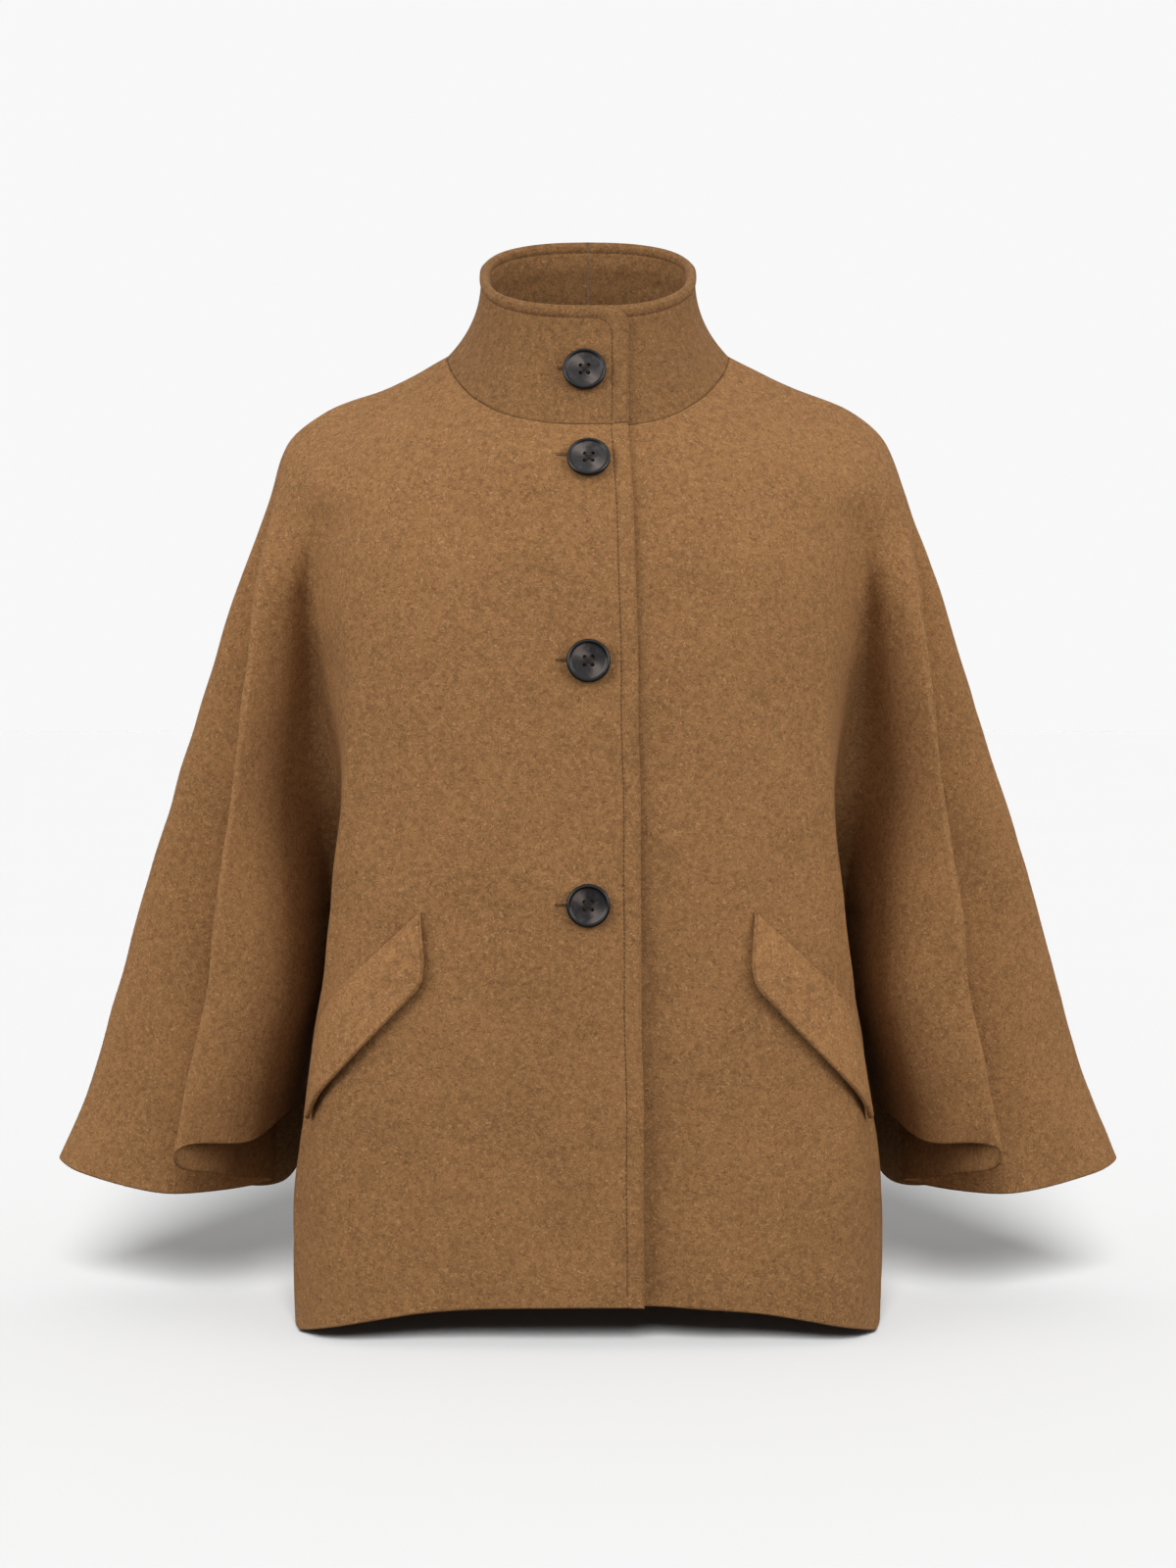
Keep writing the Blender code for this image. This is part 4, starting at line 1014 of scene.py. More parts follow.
def add_node(tree, kind, settings=None, values=(), output=0):
    node = tree.nodes.new(kind)
    for key, value in (settings or {}).items():
        setattr(node, key, value)
    pairs = values.items() if isinstance(values, dict) else enumerate(values)
    for key, value in pairs:
        socket = node.inputs[key]
        if isinstance(value, Look):
            tree.links.new(value.socket, socket)
        else:
            socket.default_value = value
    return Look(tree, node.outputs[output])


def mix_colour(tree, factor, first, second):
    node = tree.nodes.new("ShaderNodeMix")
    node.data_type = "RGBA"
    for index, value in ((0, factor), (6, first), (7, second)):
        socket = node.inputs[index]
        if isinstance(value, Look):
            tree.links.new(value.socket, socket)
        else:
            socket.default_value = (*value, 1.0) if index else value
    return Look(tree, node.outputs[2])


def new_finish(name, fixed):
    finish = bpy.data.materials.new(name)
    finish.use_nodes = True
    tree = finish.node_tree
    shader = tree.nodes["Principled BSDF"]
    for key, value in fixed.items():
        shader.inputs[key].default_value = value
    return finish, tree, shader


# Short fibres of the nap that lie one way: noise drawn out along that direction
def fibres(tree, place, turn, length, width, seed):
    turned = add_node(tree, "ShaderNodeMapping", dict(vector_type="POINT"),
                      {"Vector": place, "Rotation": turn, "Location": (seed, seed * 0.7, seed * 0.3)})
    scaled = add_node(tree, "ShaderNodeVectorMath", dict(operation="MULTIPLY"),
                      {0: turned, 1: (1 / width, 1 / width, 1 / length)})
    return add_node(tree, "ShaderNodeTexNoise", {},
                    {"Vector": scaled, "Scale": 1.0, "Detail": 1.5, "Roughness": 0.5})


# Brushed wool: crossing nap fibres, curled by a slow noise, over a mottled ground. The shade factor scales
# all its colours: painted shade below 1 on the collar, painted light above 1 on the flaps
def wool_finish(name, settings, shade=1.0):
    finish, tree, shader = new_finish(name, {"Roughness": 0.92, "Specular IOR Level": 0.18,
                                             "Sheen Weight": 0.10, "Sheen Roughness": 0.28,
                                             "Sheen Tint": (0.95, 0.62, 0.36, 1.0)})
    place = add_node(tree, "ShaderNodeTexCoord", {}, (), output="Object")
    curl = add_node(tree, "ShaderNodeTexNoise", {}, {"Vector": place, "Scale": CURL_SCALE, "Detail": 1.0},
                    output=1)
    curl = add_node(tree, "ShaderNodeVectorMath", dict(operation="SUBTRACT"), {0: curl, 1: (0.5, 0.5, 0.5)})
    curl = add_node(tree, "ShaderNodeVectorMath", dict(operation="SCALE"), {0: curl, "Scale": CURL_REACH})
    bent = add_node(tree, "ShaderNodeVectorMath", dict(operation="ADD"), {0: place, 1: curl})
    pale, deep = None, None
    for index, turn in enumerate(NAP_TURNS):
        light = fibres(tree, bent, turn, *LIGHT_FIBRE, 0.31 + index)
        dark = fibres(tree, bent, [t + DARK_FIBRE_TURN for t in turn], *DARK_FIBRE, 7.3 + index)
        pale = light if pale is None else pale.top(light)
        deep = dark if deep is None else deep.top(dark)
    pale_mask = pale.ramp(*FIBRE_EDGE)
    deep_mask = deep.ramp(*FIBRE_EDGE)
    mottle = add_node(tree, "ShaderNodeTexNoise", {},
                      {"Vector": place, "Scale": MOTTLE_SCALE, "Detail": 4.0, "Roughness": 0.7})
    cloud = add_node(tree, "ShaderNodeTexNoise", {},
                     {"Vector": place, "Scale": CLOUD_SCALE, "Detail": 3.0, "Roughness": 0.6})
    # shade scales every colour below: painted shade on the collar, painted light on the flaps, none on the
    # rest
    ground = [c * shade for c in settings.colour]
    shadow = [c * GROUND_SHADOW * shade for c in settings.colour]
    cloudy = [c * CLOUD_LIGHT * shade for c in settings.colour]
    colour = mix_colour(tree, mottle.ramp(0.36, 0.62), shadow, ground)
    colour = mix_colour(tree, cloud.ramp(0.3, 0.7) * CLOUD_SHARE, colour, cloudy)
    colour = mix_colour(tree, pale_mask * LIGHT_SHARE, colour, [c * shade for c in settings.light_fibre])
    colour = mix_colour(tree, deep_mask * DARK_SHARE, colour, [c * shade for c in settings.dark_fibre])
    tree.links.new(colour.socket, shader.inputs["Base Color"])
    height = pale_mask * 0.6 - deep_mask * 0.6 + mottle * 0.8
    bump = add_node(tree, "ShaderNodeBump", {}, {"Strength": 0.55, "Distance": NAP_DEPTH, "Height": height})
    tree.links.new(bump.socket, shader.inputs["Normal"])
    return finish


# Sewing thread: twisted, with a dull shine
def thread_finish(name, colour):
    finish, tree, shader = new_finish(name, {"Roughness": 0.7, "Specular IOR Level": 0.3,
                                             "Sheen Weight": 0.1})
    place = add_node(tree, "ShaderNodeTexCoord", {}, (), output="Object")
    twist = add_node(tree, "ShaderNodeTexNoise", {}, {"Vector": place, "Scale": 2600.0, "Detail": 1.0})
    shade = mix_colour(tree, twist.ramp(0.35, 0.65), [c * 0.65 for c in colour], [c * 1.2 for c in colour])
    tree.links.new(shade.socket, shader.inputs["Base Color"])
    bump = add_node(tree, "ShaderNodeBump", {}, {"Strength": 0.4, "Distance": 0.0001, "Height": twist})
    tree.links.new(bump.socket, shader.inputs["Normal"])
    return finish


# Horn: where the painted highlight on the face starts and ends, where the dark rim starts, and the spacing of
# the rings
PAINTED_HIGHLIGHT_HEART = (0.0022, 0.0045)
PAINTED_HIGHLIGHT_END = (0.0120, 0.0128)
RIM_START = (0.0122, 0.0130)
RIM_COLOUR = (0.0045, 0.004, 0.004)
RING_SPACING = 0.00042


# Dark polished horn, turned on a lathe: fine rings, pale streaks, and a painted highlight fanned over its
# face in the base colour
def horn_finish(settings):
    finish, tree, shader = new_finish("dark_horn", {"Specular IOR Level": 0.32, "IOR": 1.55, "Coat IOR": 1.5,
                                                    "Coat Roughness": 0.12})
    shader.inputs["Coat Weight"].default_value = 0.22
    face = add_node(tree, "ShaderNodeUVMap", dict(uv_map="face"))
    place = add_node(tree, "ShaderNodeTexCoord", {}, (), output="Object")
    streak = add_node(tree, "ShaderNodeTexNoise", {}, {"Vector": place, "Scale": 95.0, "Detail": 5.0,
                                                       "Roughness": 0.6, "Distortion": 1.4})
    colour = mix_colour(tree, streak.ramp(0.48, 0.72), list(settings.colour), list(settings.streak))
    radius = add_node(tree, "ShaderNodeVectorMath", dict(operation="LENGTH"), {0: face}, output=1)
    sideways = add_node(tree, "ShaderNodeSeparateXYZ", {}, (face,), output=0)
    upward = add_node(tree, "ShaderNodeSeparateXYZ", {}, (face,), output=1)
    # Painted highlight: two opposite pale sectors round the middle, mixed into the base colour
    turn = upward.math("ARCTAN2", upward, sideways) + streak * 1.4
    wave = turn * 2 + 0.2
    painted_highlight = (wave.math("COSINE", wave) * 0.5 + 0.5) ** 4.0
    painted_highlight = painted_highlight * radius.ramp(*PAINTED_HIGHLIGHT_HEART) * (1 - radius.ramp(*PAINTED_HIGHLIGHT_END))
    colour = mix_colour(tree, painted_highlight * 0.85, colour, list(settings.painted_highlight))
    colour = mix_colour(tree, radius.ramp(*RIM_START) * 0.9, colour, RIM_COLOUR)
    tree.links.new(colour.socket, shader.inputs["Base Color"])
    rings = radius * (2 * math.pi / RING_SPACING)
    rings = rings.math("SINE", rings)
    scuff = add_node(tree, "ShaderNodeTexNoise", {}, {"Vector": place, "Scale": 900.0, "Detail": 3.0})
    bump = add_node(tree, "ShaderNodeBump", {}, {"Strength": 0.16, "Distance": 0.00008,
                                                 "Height": rings * 0.5 + scuff * 0.6})
    tree.links.new(bump.socket, shader.inputs["Normal"])
    rough = 0.22 + scuff * 0.18
    tree.links.new(rough.socket, shader.inputs["Roughness"])
    return finish


def finish_named(name, make):
    return bpy.data.materials.get(name) or make()


def wool(settings):
    return finish_named("camel_wool", lambda: wool_finish("camel_wool", settings))


# Collar's wool, all its colours darkened by the collar's painted shade
def collar_wool_painted_shade(settings):
    return finish_named("collar_wool_painted_shade", lambda: wool_finish("collar_wool_painted_shade", settings, settings.collar_painted_shade))


# Flaps' wool, all its colours lightened by the flaps' painted light
def flap_wool_painted_light(settings):
    return finish_named("flap_wool_painted_light", lambda: wool_finish("flap_wool_painted_light", settings, settings.flap_painted_light))


def wool_thread():
    return finish_named("wool_thread", lambda: thread_finish("wool_thread", (0.13, 0.06, 0.022)))


def dark_thread():
    return finish_named("dark_thread", lambda: thread_finish("dark_thread", (0.022, 0.013, 0.009)))


class CAPE_OT_fronts(bpy.types.Operator):
    """Cuts and hangs the two front panels"""
    bl_idname = "cape.fronts"
    bl_label = "Front panels"

    def execute(self, context):
        settings = context.scene.cape_cloth
        for side, name in ((-1, "front_right"), (1, "front_left")):
            mesh = front_sheet(side, settings).mesh(f"{name}_cloth", side)
            piece = place_piece(mesh, wool(settings), "wool", name)
        return {"FINISHED"}


class CAPE_OT_back(bpy.types.Operator):
    """Cuts and hangs the back panel with both sleeve backs"""
    bl_idname = "cape.back"
    bl_label = "Back panel"

    def execute(self, context):
        settings = context.scene.cape_cloth
        mesh = back_sheet().mesh("back_cloth", 1)
        piece = place_piece(mesh, wool(settings), "wool", "back")
        return {"FINISHED"}


class CAPE_OT_collar(bpy.types.Operator):
    """Cuts and stands the two halves of the collar"""
    bl_idname = "cape.collar"
    bl_label = "Collar"

    def execute(self, context):
        settings = context.scene.cape_cloth
        for side, name in ((-1, "collar_right"), (1, "collar_left")):
            mesh = collar_sheet(side, settings).mesh(f"{name}_cloth", side)
            piece = place_piece(mesh, collar_wool_painted_shade(settings), "wool", name)
        return {"FINISHED"}


class CAPE_OT_flaps(bpy.types.Operator):
    """Lays the two pocket flaps on the fronts"""
    bl_idname = "cape.flaps"
    bl_label = "Pocket flaps"

    def execute(self, context):
        settings = context.scene.cape_cloth
        for side, name in ((-1, "pocket_flap_right"), (1, "pocket_flap_left")):
            mesh = flap_sheet(side).mesh(f"{name}_cloth", side)
            piece = place_piece(mesh, flap_wool_painted_light(settings), "wool", name)
        return {"FINISHED"}


# Topstitch: radius of the thread, and how deep it lies in the cloth outside and inside
STITCH_RADIUS = 0.34
STITCH_SINK = 0.50
STITCH_SINK_INSIDE = 0.55


class CAPE_OT_topstitching(bpy.types.Operator):
    """Sews the topstitching of the placket and the collar"""
    bl_idname = "cape.topstitching"
    bl_label = "Topstitching"

    def execute(self, context):
        settings = context.scene.cape_cloth
        inset = settings.stitch_inset / MM
        points, normals = [], []
        for down in np.linspace(5.0, BODY[-1]["at"] - 6.0, 150):
            tube = FORM.tube_at(down, "body")
            height = FORM.points(0.0, down, tube)[0, 2]
            station = -FORM.station_out(lap_edge(height, True) - inset, down, tube)
            point, normal = cloth_row(np.array([station]), down, tube, BODY[-1]["at"], -1, True)
            points.append((point + normal * (CLOTH / 2 - STITCH_SINK))[0])
            normals.append(normal[0])
        flip = np.array((-1.0, 1.0, 1.0))
        mesh = stitch_mesh("placket_topstitch", np.array(points) * flip, np.array(normals) * flip,
                           settings.stitch / MM, STITCH_RADIUS)
        place_piece(mesh, wool_thread(), "wool")
        for side, name in ((-1, "collar_right"), (1, "collar_left")):
            self.collar(side, name, settings)
        return {"FINISHED"}

    # Stitch lines of one collar half: round the rim, and on the lapped half down its front edge
    def collar(self, side, name, settings):
        lapped = side < 0
        flip = np.array((side, 1.0, 1.0))
        inset, rim_inset = settings.stitch_inset / MM, settings.rim_inset / MM
        rim_share = 1 - rim_inset / COLLAR_HEIGHT
        edge_out = lap_edge(0.0, lapped)
        path = []
        if lapped:
            top = (COLLAR_HEIGHT - 2.0) / rim_inset - 1
            across = (edge_out - 1.0) / inset - 1
            rim = np.linspace(-top, -CORNER_EASE, 30)
            turn = np.linspace(-CORNER_EASE, CORNER_EASE, 14)[1:]
            front = np.linspace(CORNER_EASE, across, 8)[1:]
            for lean in (*rim, *turn, *front):
                ease = max(0.0, CORNER_EASE - abs(lean)) ** 2 / (4 * CORNER_EASE)
                from_edge = (1 + ease + max(0.0, lean)) * inset
                from_rim = (1 + ease + max(0.0, -lean)) * rim_inset
                path.append((edge_out - from_edge, 1 - from_rim / COLLAR_HEIGHT))
            path = [(out, share) for out, share in path if out > 0.8]
        else:
            path += [(out, rim_share) for out in np.linspace(edge_out - 2, 1.0, 10)]
        outer, directions, inner = [], [], []
        for out, share in path:
            station = -float(FORM.station_out(out, 0.0, "whole"))
            point, normal = collar_column(station, np.array((0.0, share)), side, out)
            outer.append(point[1])
            directions.append(normal[1])
        for station in np.linspace(0.0, BACK - 0.02, 120):
            point, normal = collar_column(station, np.array((0.0, rim_share)), side, 1.0)
            outer.append(point[1])
            directions.append(normal[1])
            inner.append((point[1], normal[1]))
        outer, directions = np.array(outer), np.array(directions)
        face = outer + directions * (CLOTH / 2 - STITCH_SINK)
        length = settings.stitch / MM
        mesh = stitch_mesh(f"{name}_topstitch", face * flip, directions * flip, length, STITCH_RADIUS)
        place_piece(mesh, wool_thread(), "wool")
        inside = np.array([p for p, _ in inner[28:]])
        away = -np.array([n for _, n in inner[28:]])
        inside = inside + away * (CLOTH / 2 + COLLAR_FACING - STITCH_SINK_INSIDE)
        mesh = stitch_mesh(f"{name}_inside_topstitch", inside * flip, away * flip, length, STITCH_RADIUS)
        place_piece(mesh, wool_thread(), "wool")


# Where a button stands: its middle at the back, and its outward direction
def button_place(node):
    low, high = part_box(node)
    middle = (np.array(low) + np.array(high)) / 2 / MM
    if middle[2] > UPPER[0]["z"][0]:
        shares = np.linspace(0, 1, 60)
        heights = collar_points(np.zeros(60), shares)[:, 2]
        share = np.interp(middle[2], heights, shares)
        normal = collar_normals(np.zeros(1), np.array([share]))[0]
    else:
        down = FORM.down_at(middle[2])
        normal = FORM.normals(0.0, down, "body", BODY[-1]["at"])[0]
    normal[0] = 0.0
    return middle, unit(normal)


# Buttonhole: its two ends beside the button, half the gap of its slit, and its stitches
HOLE_OUTER_END = 23.5
HOLE_INNER_END = -7.0
HOLE_HALF_GAP = 0.62
HOLE_STITCH = 0.9
HOLE_STITCH_RADIUS = 0.42
HOLE_SINK = 0.12


class CAPE_OT_buttonholes(bpy.types.Operator):
    """Works the four buttonholes beside and under the buttons"""
    bl_idname = "cape.buttonholes"
    bl_label = "Buttonholes"

    def execute(self, context):
        for number in range(1, 5):
            middle, normal = button_place(f"button_{number}")
            inward = np.linspace(HOLE_OUTER_END, HOLE_INNER_END, 64)
            points, normals = [], []
            for outs, offset in ((inward, HOLE_HALF_GAP), (inward[::-1], -HOLE_HALF_GAP)):
                for out in outs:
                    point, direction = self.surface(middle[0] * -1 + out, middle[2] + offset)
                    points.append(point)
                    normals.append(direction)
            flip = np.array((-1.0, 1.0, 1.0))
            points, normals = np.array(points) * flip, np.array(normals) * flip
            mesh = stitch_mesh(f"buttonhole_{number}", points, normals, HOLE_STITCH, HOLE_STITCH_RADIUS,
                               sides=5, gap=0.05)
            place_piece(mesh, dark_thread(), "horn")
        return {"FINISHED"}

    # Point of the outer cloth face at a distance out, on the lapped side, and a height
    def surface(self, out, height):
        if height > UPPER[0]["z"][0]:
            station = float(np.sign(out) * FORM.station_out(abs(out), 0.0, "whole"))
            shares = np.linspace(0.0, 1.0, 80)
            heights = collar_points(np.full(80, station), shares)[:, 2]
            share = np.array([np.interp(height, heights, shares)])
            point = collar_points(np.array([station]), share)
            normal = collar_normals(np.array([station]), share)
            step = lap_step(abs(out), True)
        else:
            down = FORM.down_at(height)
            tube = FORM.tube_at(down, "body")
            station = float(np.sign(out) * FORM.station_out(abs(out), down, tube))
            point, normal = cloth_row(np.array([station]), down, tube, BODY[-1]["at"], -1, True)
            step = 0.0
        return (point + normal * (step + CLOTH / 2 - HOLE_SINK))[0], normal[0]


# Turned profile of a button as (radius, height) shares
BUTTON_PROFILE = ((0.0, 0.02), (0.70, 0.0), (0.86, 0.05), (0.95, 0.2), (0.99, 0.38), (1.0, 0.56),
                  (0.992, 0.74), (0.965, 0.89), (0.93, 0.975), (0.895, 1.0), (0.865, 0.985),
                  (0.84, 0.92), (0.82, 0.82), (0.80, 0.76), (0.76, 0.735), (0.68, 0.715), (0.55, 0.685),
                  (0.40, 0.655), (0.25, 0.635), (0.12, 0.625), (0.0, 0.62))


# Thread holes of a button: radius, and distance from its middle
THREAD_HOLE = 1.45 * MM
HOLE_FROM_MIDDLE = 3.9 * MM


class CAPE_OT_buttons(bpy.types.Operator):
    """Turns the four horn buttons and sews them on"""
    bl_idname = "cape.buttons"
    bl_label = "Buttons"

    def execute(self, context):
        settings = context.scene.cape_buttons
        horn = horn_finish(settings)
        for number in range(1, 5):
            node = f"button_{number}"
            middle, normal = button_place(node)
            spin = Vector((0, 0, 1)).rotation_difference(Vector(normal)).to_matrix().to_4x4()
            seat = Vector(middle) * MM - Vector(normal) * settings.thickness / 2
            placement = Matrix.Translation(seat) @ spin
            piece = self.turned(node, settings, placement, horn)
            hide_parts(node)
            self.threads(node, settings, placement)
        return {"FINISHED"}

    def turned(self, node, settings, placement, horn):
        facets, radius, height = settings.facets, settings.radius, settings.thickness
        inner = [(r, z) for r, z in BUTTON_PROFILE if r > 0]
        places = [(0, 0, BUTTON_PROFILE[0][1] * height)]
        for r, z in inner:
            for k in range(facets):
                angle = 2 * math.pi * k / facets
                places.append((r * radius * math.cos(angle), r * radius * math.sin(angle), z * height))
        places.append((0, 0, BUTTON_PROFILE[-1][1] * height))
        faces = []
        for k in range(facets):
            n = (k + 1) % facets
            faces.append((0, 1 + n, 1 + k))
            for ring in range(len(inner) - 1):
                a, b = 1 + ring * facets, 1 + (ring + 1) * facets
                faces.append((a + k, a + n, b + n, b + k))
            last = 1 + (len(inner) - 1) * facets
            faces.append((last + k, last + n, len(places) - 1))
        mesh = bpy.data.meshes.new(f"{node}_blank")
        mesh.from_pydata(places, [], faces)
        mesh.update()
        blank = bpy.data.objects.new(f"{node}_blank", mesh)
        bpy.context.scene.collection.objects.link(blank)
        cutters = []
        for k in range(4):
            angle = math.radians(45 + 90 * k)
            work = bmesh.new()
            bmesh.ops.create_cone(work, cap_ends=True, segments=28, radius1=THREAD_HOLE, radius2=THREAD_HOLE,
                                  depth=4 * height)
            out = HOLE_FROM_MIDDLE
            bmesh.ops.translate(work, verts=work.verts, vec=(out * math.cos(angle), out * math.sin(angle), 0))
            cutter_mesh = bpy.data.meshes.new("drill")
            work.to_mesh(cutter_mesh)
            work.free()
            cutter = bpy.data.objects.new("drill", cutter_mesh)
            bpy.context.scene.collection.objects.link(cutter)
            cut = blank.modifiers.new("hole", "BOOLEAN")
            cut.operation = "DIFFERENCE"
            cut.solver = "EXACT"
            cut.object = cutter
            cutters.append(cutter)
        graph = bpy.context.evaluated_depsgraph_get()
        drilled = bpy.data.meshes.new_from_object(blank.evaluated_get(graph))
        drilled.name = f"{node}_horn"
        for old in (*cutters, blank):
            bpy.data.objects.remove(old, do_unlink=True)
        layer = drilled.uv_layers.new(name="face")
        for loop in drilled.loops:
            layer.uv[loop.index].vector = drilled.vertices[loop.vertex_index].co.xy
        drilled.transform(placement)
        drilled.polygons.foreach_set("use_smooth", np.ones(len(drilled.polygons), bool))
        drilled.set_sharp_from_angle(angle=math.radians(38))
        drilled.materials.clear()
        return place_piece(drilled, horn, "horn")

    # Crossed threads through the holes and the wound neck behind the button
    def threads(self, node, settings, placement):
        turns = []
        for cross in (45, 135):
            for offset in (-0.42, 0.0, 0.42):
                a = math.radians(cross)
                way = np.array((math.cos(a), math.sin(a), 0.0))
                across = np.array((-way[1], way[0], 0.0)) * offset
                lift = settings.thickness / MM * 0.62
                shape = ((-3.7, -1.6), (-3.4, -0.2), (-2.4, 0.35), (0.0, 0.5 if cross == 45 else 0.8),
                         (2.4, 0.35), (3.4, -0.2), (3.7, -1.6))
                turns.append(np.array([way * s + across + np.array((0, 0, lift + h)) for s, h in shape]))
        for k in range(3):
            level = -0.45 + 0.28 * k
            turns.append(np.array([(2.3 * math.cos(t), 2.3 * math.sin(t), level)
                                   for t in np.linspace(0, 2 * math.pi, 17)]))
        curve = bpy.data.curves.new(f"{node}_threads", "CURVE")
        curve.dimensions = "3D"
        curve.bevel_depth = 0.30 * MM
        curve.bevel_resolution = 2
        curve.use_fill_caps = True
        for turn in turns:
            spline = curve.splines.new("POLY")
            spline.points.add(len(turn) - 1)
            for k, point in enumerate(turn):
                spline.points[k].co = (*(placement @ (Vector(point) * MM)), 1.0)
        piece = bpy.data.objects.new(f"{node}_threads", curve)
        bpy.context.scene.collection.objects.link(piece)
        curve.materials.append(dark_thread())
        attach(piece, "root")


# Studio: wall round the floor, the floor's own sun, and the light of the air
WALL_RADIUS = 9.0
WALL_HEIGHT = 9.0
WALL_GLOW = 0.94
SUN_SIZE = math.radians(19)
SUN_HEIGHT = math.radians(27)
AIR_LIGHT = 0.88
FLOOR_AIR = 0.90
AIR_BELOW = 0.08
AIR_ABOVE = 0.78


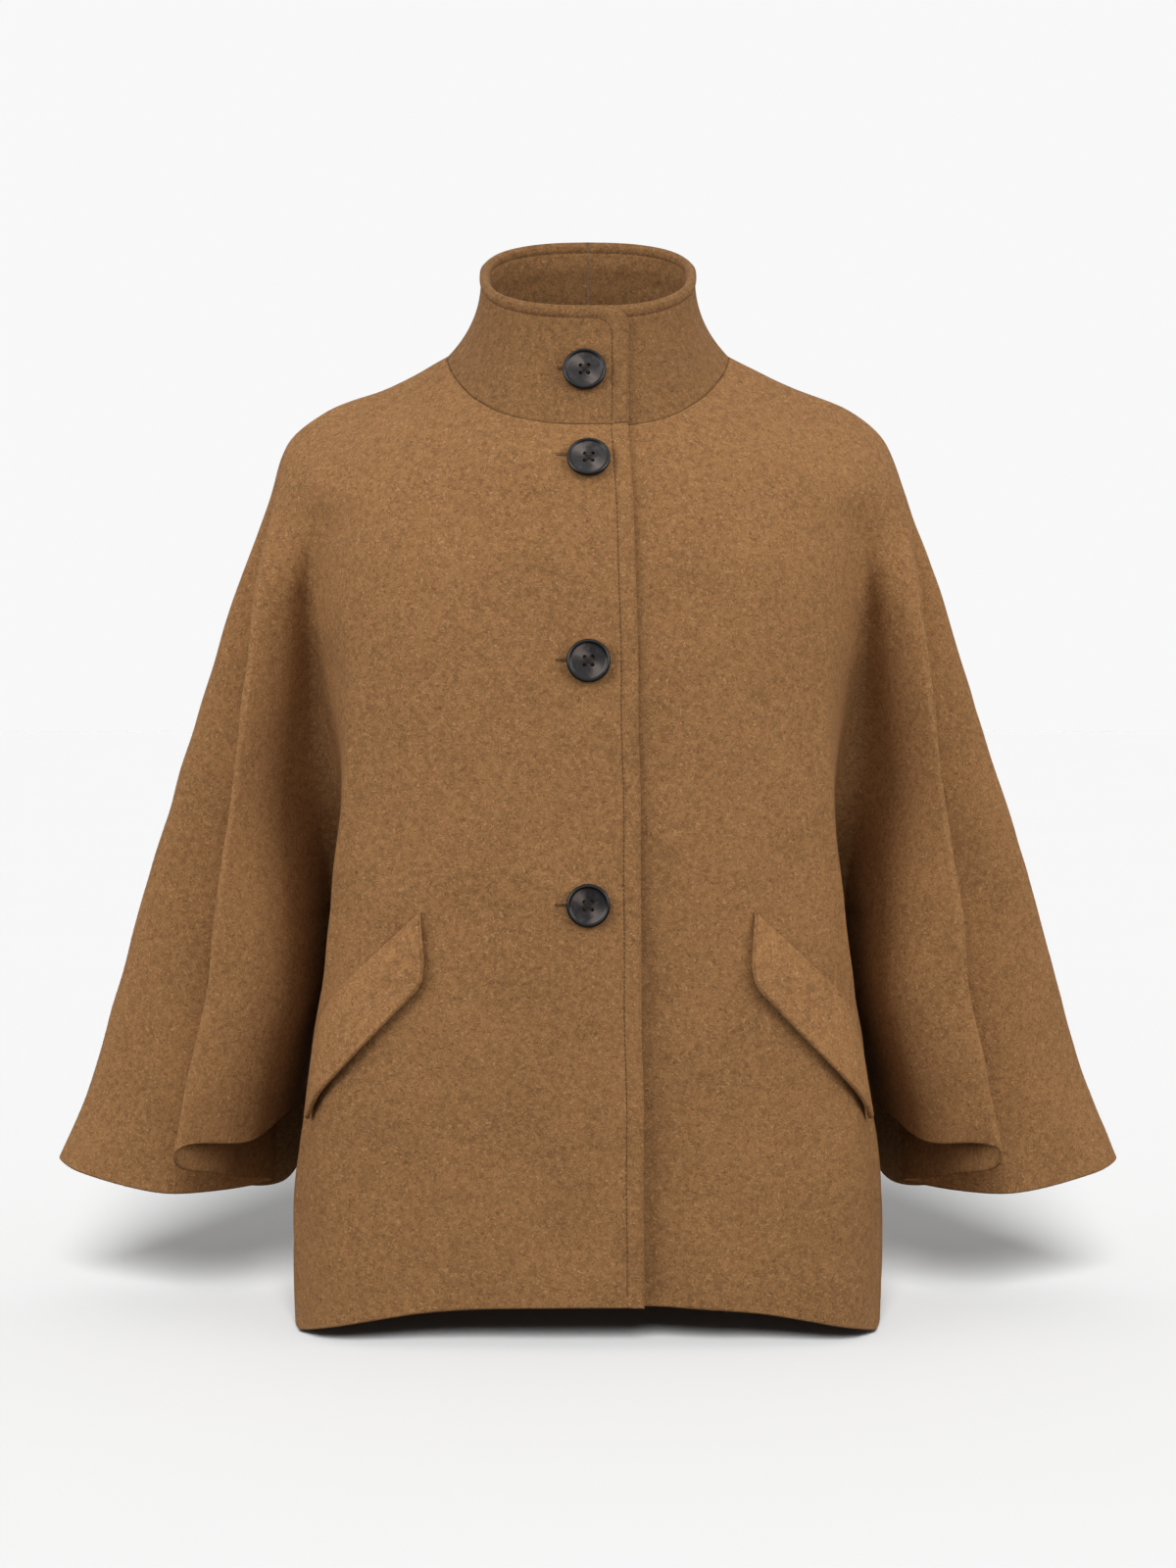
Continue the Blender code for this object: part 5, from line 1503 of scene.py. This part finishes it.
class CAPE_OT_stage(bpy.types.Operator):
    """Sets the floor, the soft lights and the camera"""
    bl_idname = "cape.stage"
    bl_label = "Studio"

    def execute(self, context):
        settings = context.scene.cape_stage
        self.floor(settings)
        self.lights(context.scene)
        self.camera(settings, context.scene)
        context.scene.view_settings.view_transform = "Standard"
        return {"FINISHED"}

    # Even pale floor and a glowing pale wall round it, neither of which throws light on the cape
    def floor(self, settings):
        level = CAD_BOX[0][2] - 0.0015
        around = 96
        turns = [2 * math.pi * k / around for k in range(around)]
        ring = [(WALL_RADIUS * math.cos(turn), WALL_RADIUS * math.sin(turn)) for turn in turns]
        mesh = bpy.data.meshes.new("studio_floor")
        mesh.from_pydata([(x, y, level) for x, y in ring], [], [tuple(range(around))])
        floor = bpy.data.objects.new("studio_floor", mesh)
        finish, tree, shader = new_finish("pale_paper", {"Roughness": 1.0, "Specular IOR Level": 0.0})
        place = add_node(tree, "ShaderNodeTexCoord", {}, (), output="Object")
        tooth = add_node(tree, "ShaderNodeTexNoise", {}, {"Vector": place, "Scale": 3.0, "Detail": 2.0})
        colour = mix_colour(tree, tooth.ramp(0.3, 0.7), list(settings.backdrop),
                            [min(1.0, c * 1.004) for c in settings.backdrop])
        tree.links.new(colour.socket, shader.inputs["Base Color"])
        mesh.materials.append(finish)
        wall_mesh = bpy.data.meshes.new("studio_wall")
        places = [(x, y, level + z) for z in (0.0, WALL_HEIGHT) for x, y in ring]
        faces = [(k, (k + 1) % around, around + (k + 1) % around, around + k) for k in range(around)]
        faces.append(tuple(range(2 * around - 1, around - 1, -1)))
        wall_mesh.from_pydata(places, [], faces)
        wall = bpy.data.objects.new("studio_wall", wall_mesh)
        finish, tree, shader = new_finish("pale_wall", {"Roughness": 1.0, "Specular IOR Level": 0.0,
                                                        "Base Color": (0.0, 0.0, 0.0, 1.0),
                                                        "Emission Color": (*[WALL_GLOW] * 3, 1.0),
                                                        "Emission Strength": 1.0})
        wall_mesh.materials.append(finish)
        for part in (floor, wall):
            bpy.context.scene.collection.objects.link(part)
            part.visible_diffuse = False
            part.visible_glossy = False
            part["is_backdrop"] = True
        wall.visible_shadow = False
        self.only_for(self.sun(settings), "floor_light", [floor])

    # Broad sun that evenly lights the floor and throws the cape's soft shadow behind it
    def sun(self, settings):
        lamp = bpy.data.lights.new("floor_sun", "SUN")
        lamp.angle = SUN_SIZE
        wanted = WALL_GLOW / settings.backdrop[0] - AIR_LIGHT * FLOOR_AIR
        lamp.energy = math.pi * wanted / math.sin(SUN_HEIGHT)
        lamp_object = bpy.data.objects.new("floor_sun", lamp)
        bpy.context.scene.collection.objects.link(lamp_object)
        lamp_object.rotation_euler = (math.pi / 2 - SUN_HEIGHT, 0.0, 0.0)
        return lamp_object

    def only_for(self, lamp_object, name, parts):
        group = bpy.data.collections.new(name)
        for part in parts:
            group.objects.link(part)
        lamp_object.light_linking.receiver_collection = group

    def lights(self, scene):
        boxes = (("key", (-2.45, -1.8, 0.7), (0.0, 0.0, -0.35), 1.8, 44.0),
                 ("fill", (2.45, -1.8, 0.6), (0.0, 0.0, -0.35), 1.8, 42.0),
                 ("overhead", (0.0, -0.9, 2.3), (0.0, 0.0, -0.40), 2.2, 4.0),
                 ("rear", (0.0, 2.6, 1.7), (0.0, 0.0, -0.35), 2.2, 12.0))
        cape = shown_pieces()
        for name, place, aim, size, power in boxes:
            lamp = bpy.data.lights.new(name, "AREA")
            lamp.size = size
            lamp.energy = power
            lamp_object = bpy.data.objects.new(name, lamp)
            scene.collection.objects.link(lamp_object)
            lamp_object.location = place
            lamp_object.rotation_euler = (Vector(aim) - Vector(place)).to_track_quat("-Z", "Y").to_euler()
            self.only_for(lamp_object, f"{name}_light", cape)
        world = bpy.data.worlds.new("studio_air")
        world.use_nodes = True
        tree = world.node_tree
        way = add_node(tree, "ShaderNodeTexCoord", {}, (), output="Generated")
        height = add_node(tree, "ShaderNodeSeparateXYZ", {}, (way,), output=2)
        colour = mix_colour(tree, height.ramp(-0.4, 0.5), [AIR_BELOW] * 3, [1.0] * 3)
        colour = mix_colour(tree, height.ramp(0.5, 1.0), colour, [AIR_ABOVE] * 3)
        tree.links.new(colour.socket, tree.nodes["Background"].inputs["Color"])
        tree.nodes["Background"].inputs["Strength"].default_value = AIR_LIGHT
        scene.world = world

    def camera(self, settings, scene):
        lens = bpy.data.cameras.new("camera")
        lens.sensor_fit = "VERTICAL"
        lens.sensor_height = 36.0
        lens.lens = 36.0 * settings.distance / settings.frame_height
        eye = bpy.data.objects.new("camera", lens)
        scene.collection.objects.link(eye)
        back = settings.distance * math.cos(settings.elevation)
        eye.location = (0.0, -back, settings.aim + settings.distance * math.sin(settings.elevation))
        eye.rotation_euler = (math.pi / 2 - settings.elevation, 0.0, 0.0)
        scene.camera = eye


class CAPE_PT_panel(bpy.types.Panel):
    """Lists the steps that make the cape"""
    bl_label = "Wool cape"
    bl_idname = "CAPE_PT_panel"
    bl_space_type = "VIEW_3D"
    bl_region_type = "UI"
    bl_category = "Cape"

    def draw(self, context):
        for step in STEPS:
            self.layout.operator(step.bl_idname)


STEPS = (CAPE_OT_fronts, CAPE_OT_back, CAPE_OT_collar, CAPE_OT_flaps, CAPE_OT_topstitching,
         CAPE_OT_buttonholes, CAPE_OT_buttons, CAPE_OT_stage)
GROUPS = (CapeCloth, CapeButtons, CapeStage)


def register():
    for group in (*GROUPS, *STEPS, CAPE_PT_panel):
        bpy.utils.register_class(group)
    bpy.types.Scene.cape_cloth = PointerProperty(type=CapeCloth)
    bpy.types.Scene.cape_buttons = PointerProperty(type=CapeButtons)
    bpy.types.Scene.cape_stage = PointerProperty(type=CapeStage)


def unregister():
    del bpy.types.Scene.cape_stage
    del bpy.types.Scene.cape_buttons
    del bpy.types.Scene.cape_cloth
    for group in reversed((*GROUPS, *STEPS, CAPE_PT_panel)):
        bpy.utils.unregister_class(group)


def main():
    register()
    bpy.ops.cape.fronts()
    bpy.ops.cape.back()
    bpy.ops.cape.collar()
    bpy.ops.cape.flaps()
    bpy.ops.cape.topstitching()
    bpy.ops.cape.buttonholes()
    bpy.ops.cape.buttons()
    bpy.ops.cape.stage()


if __name__ == "__main__":
    main()
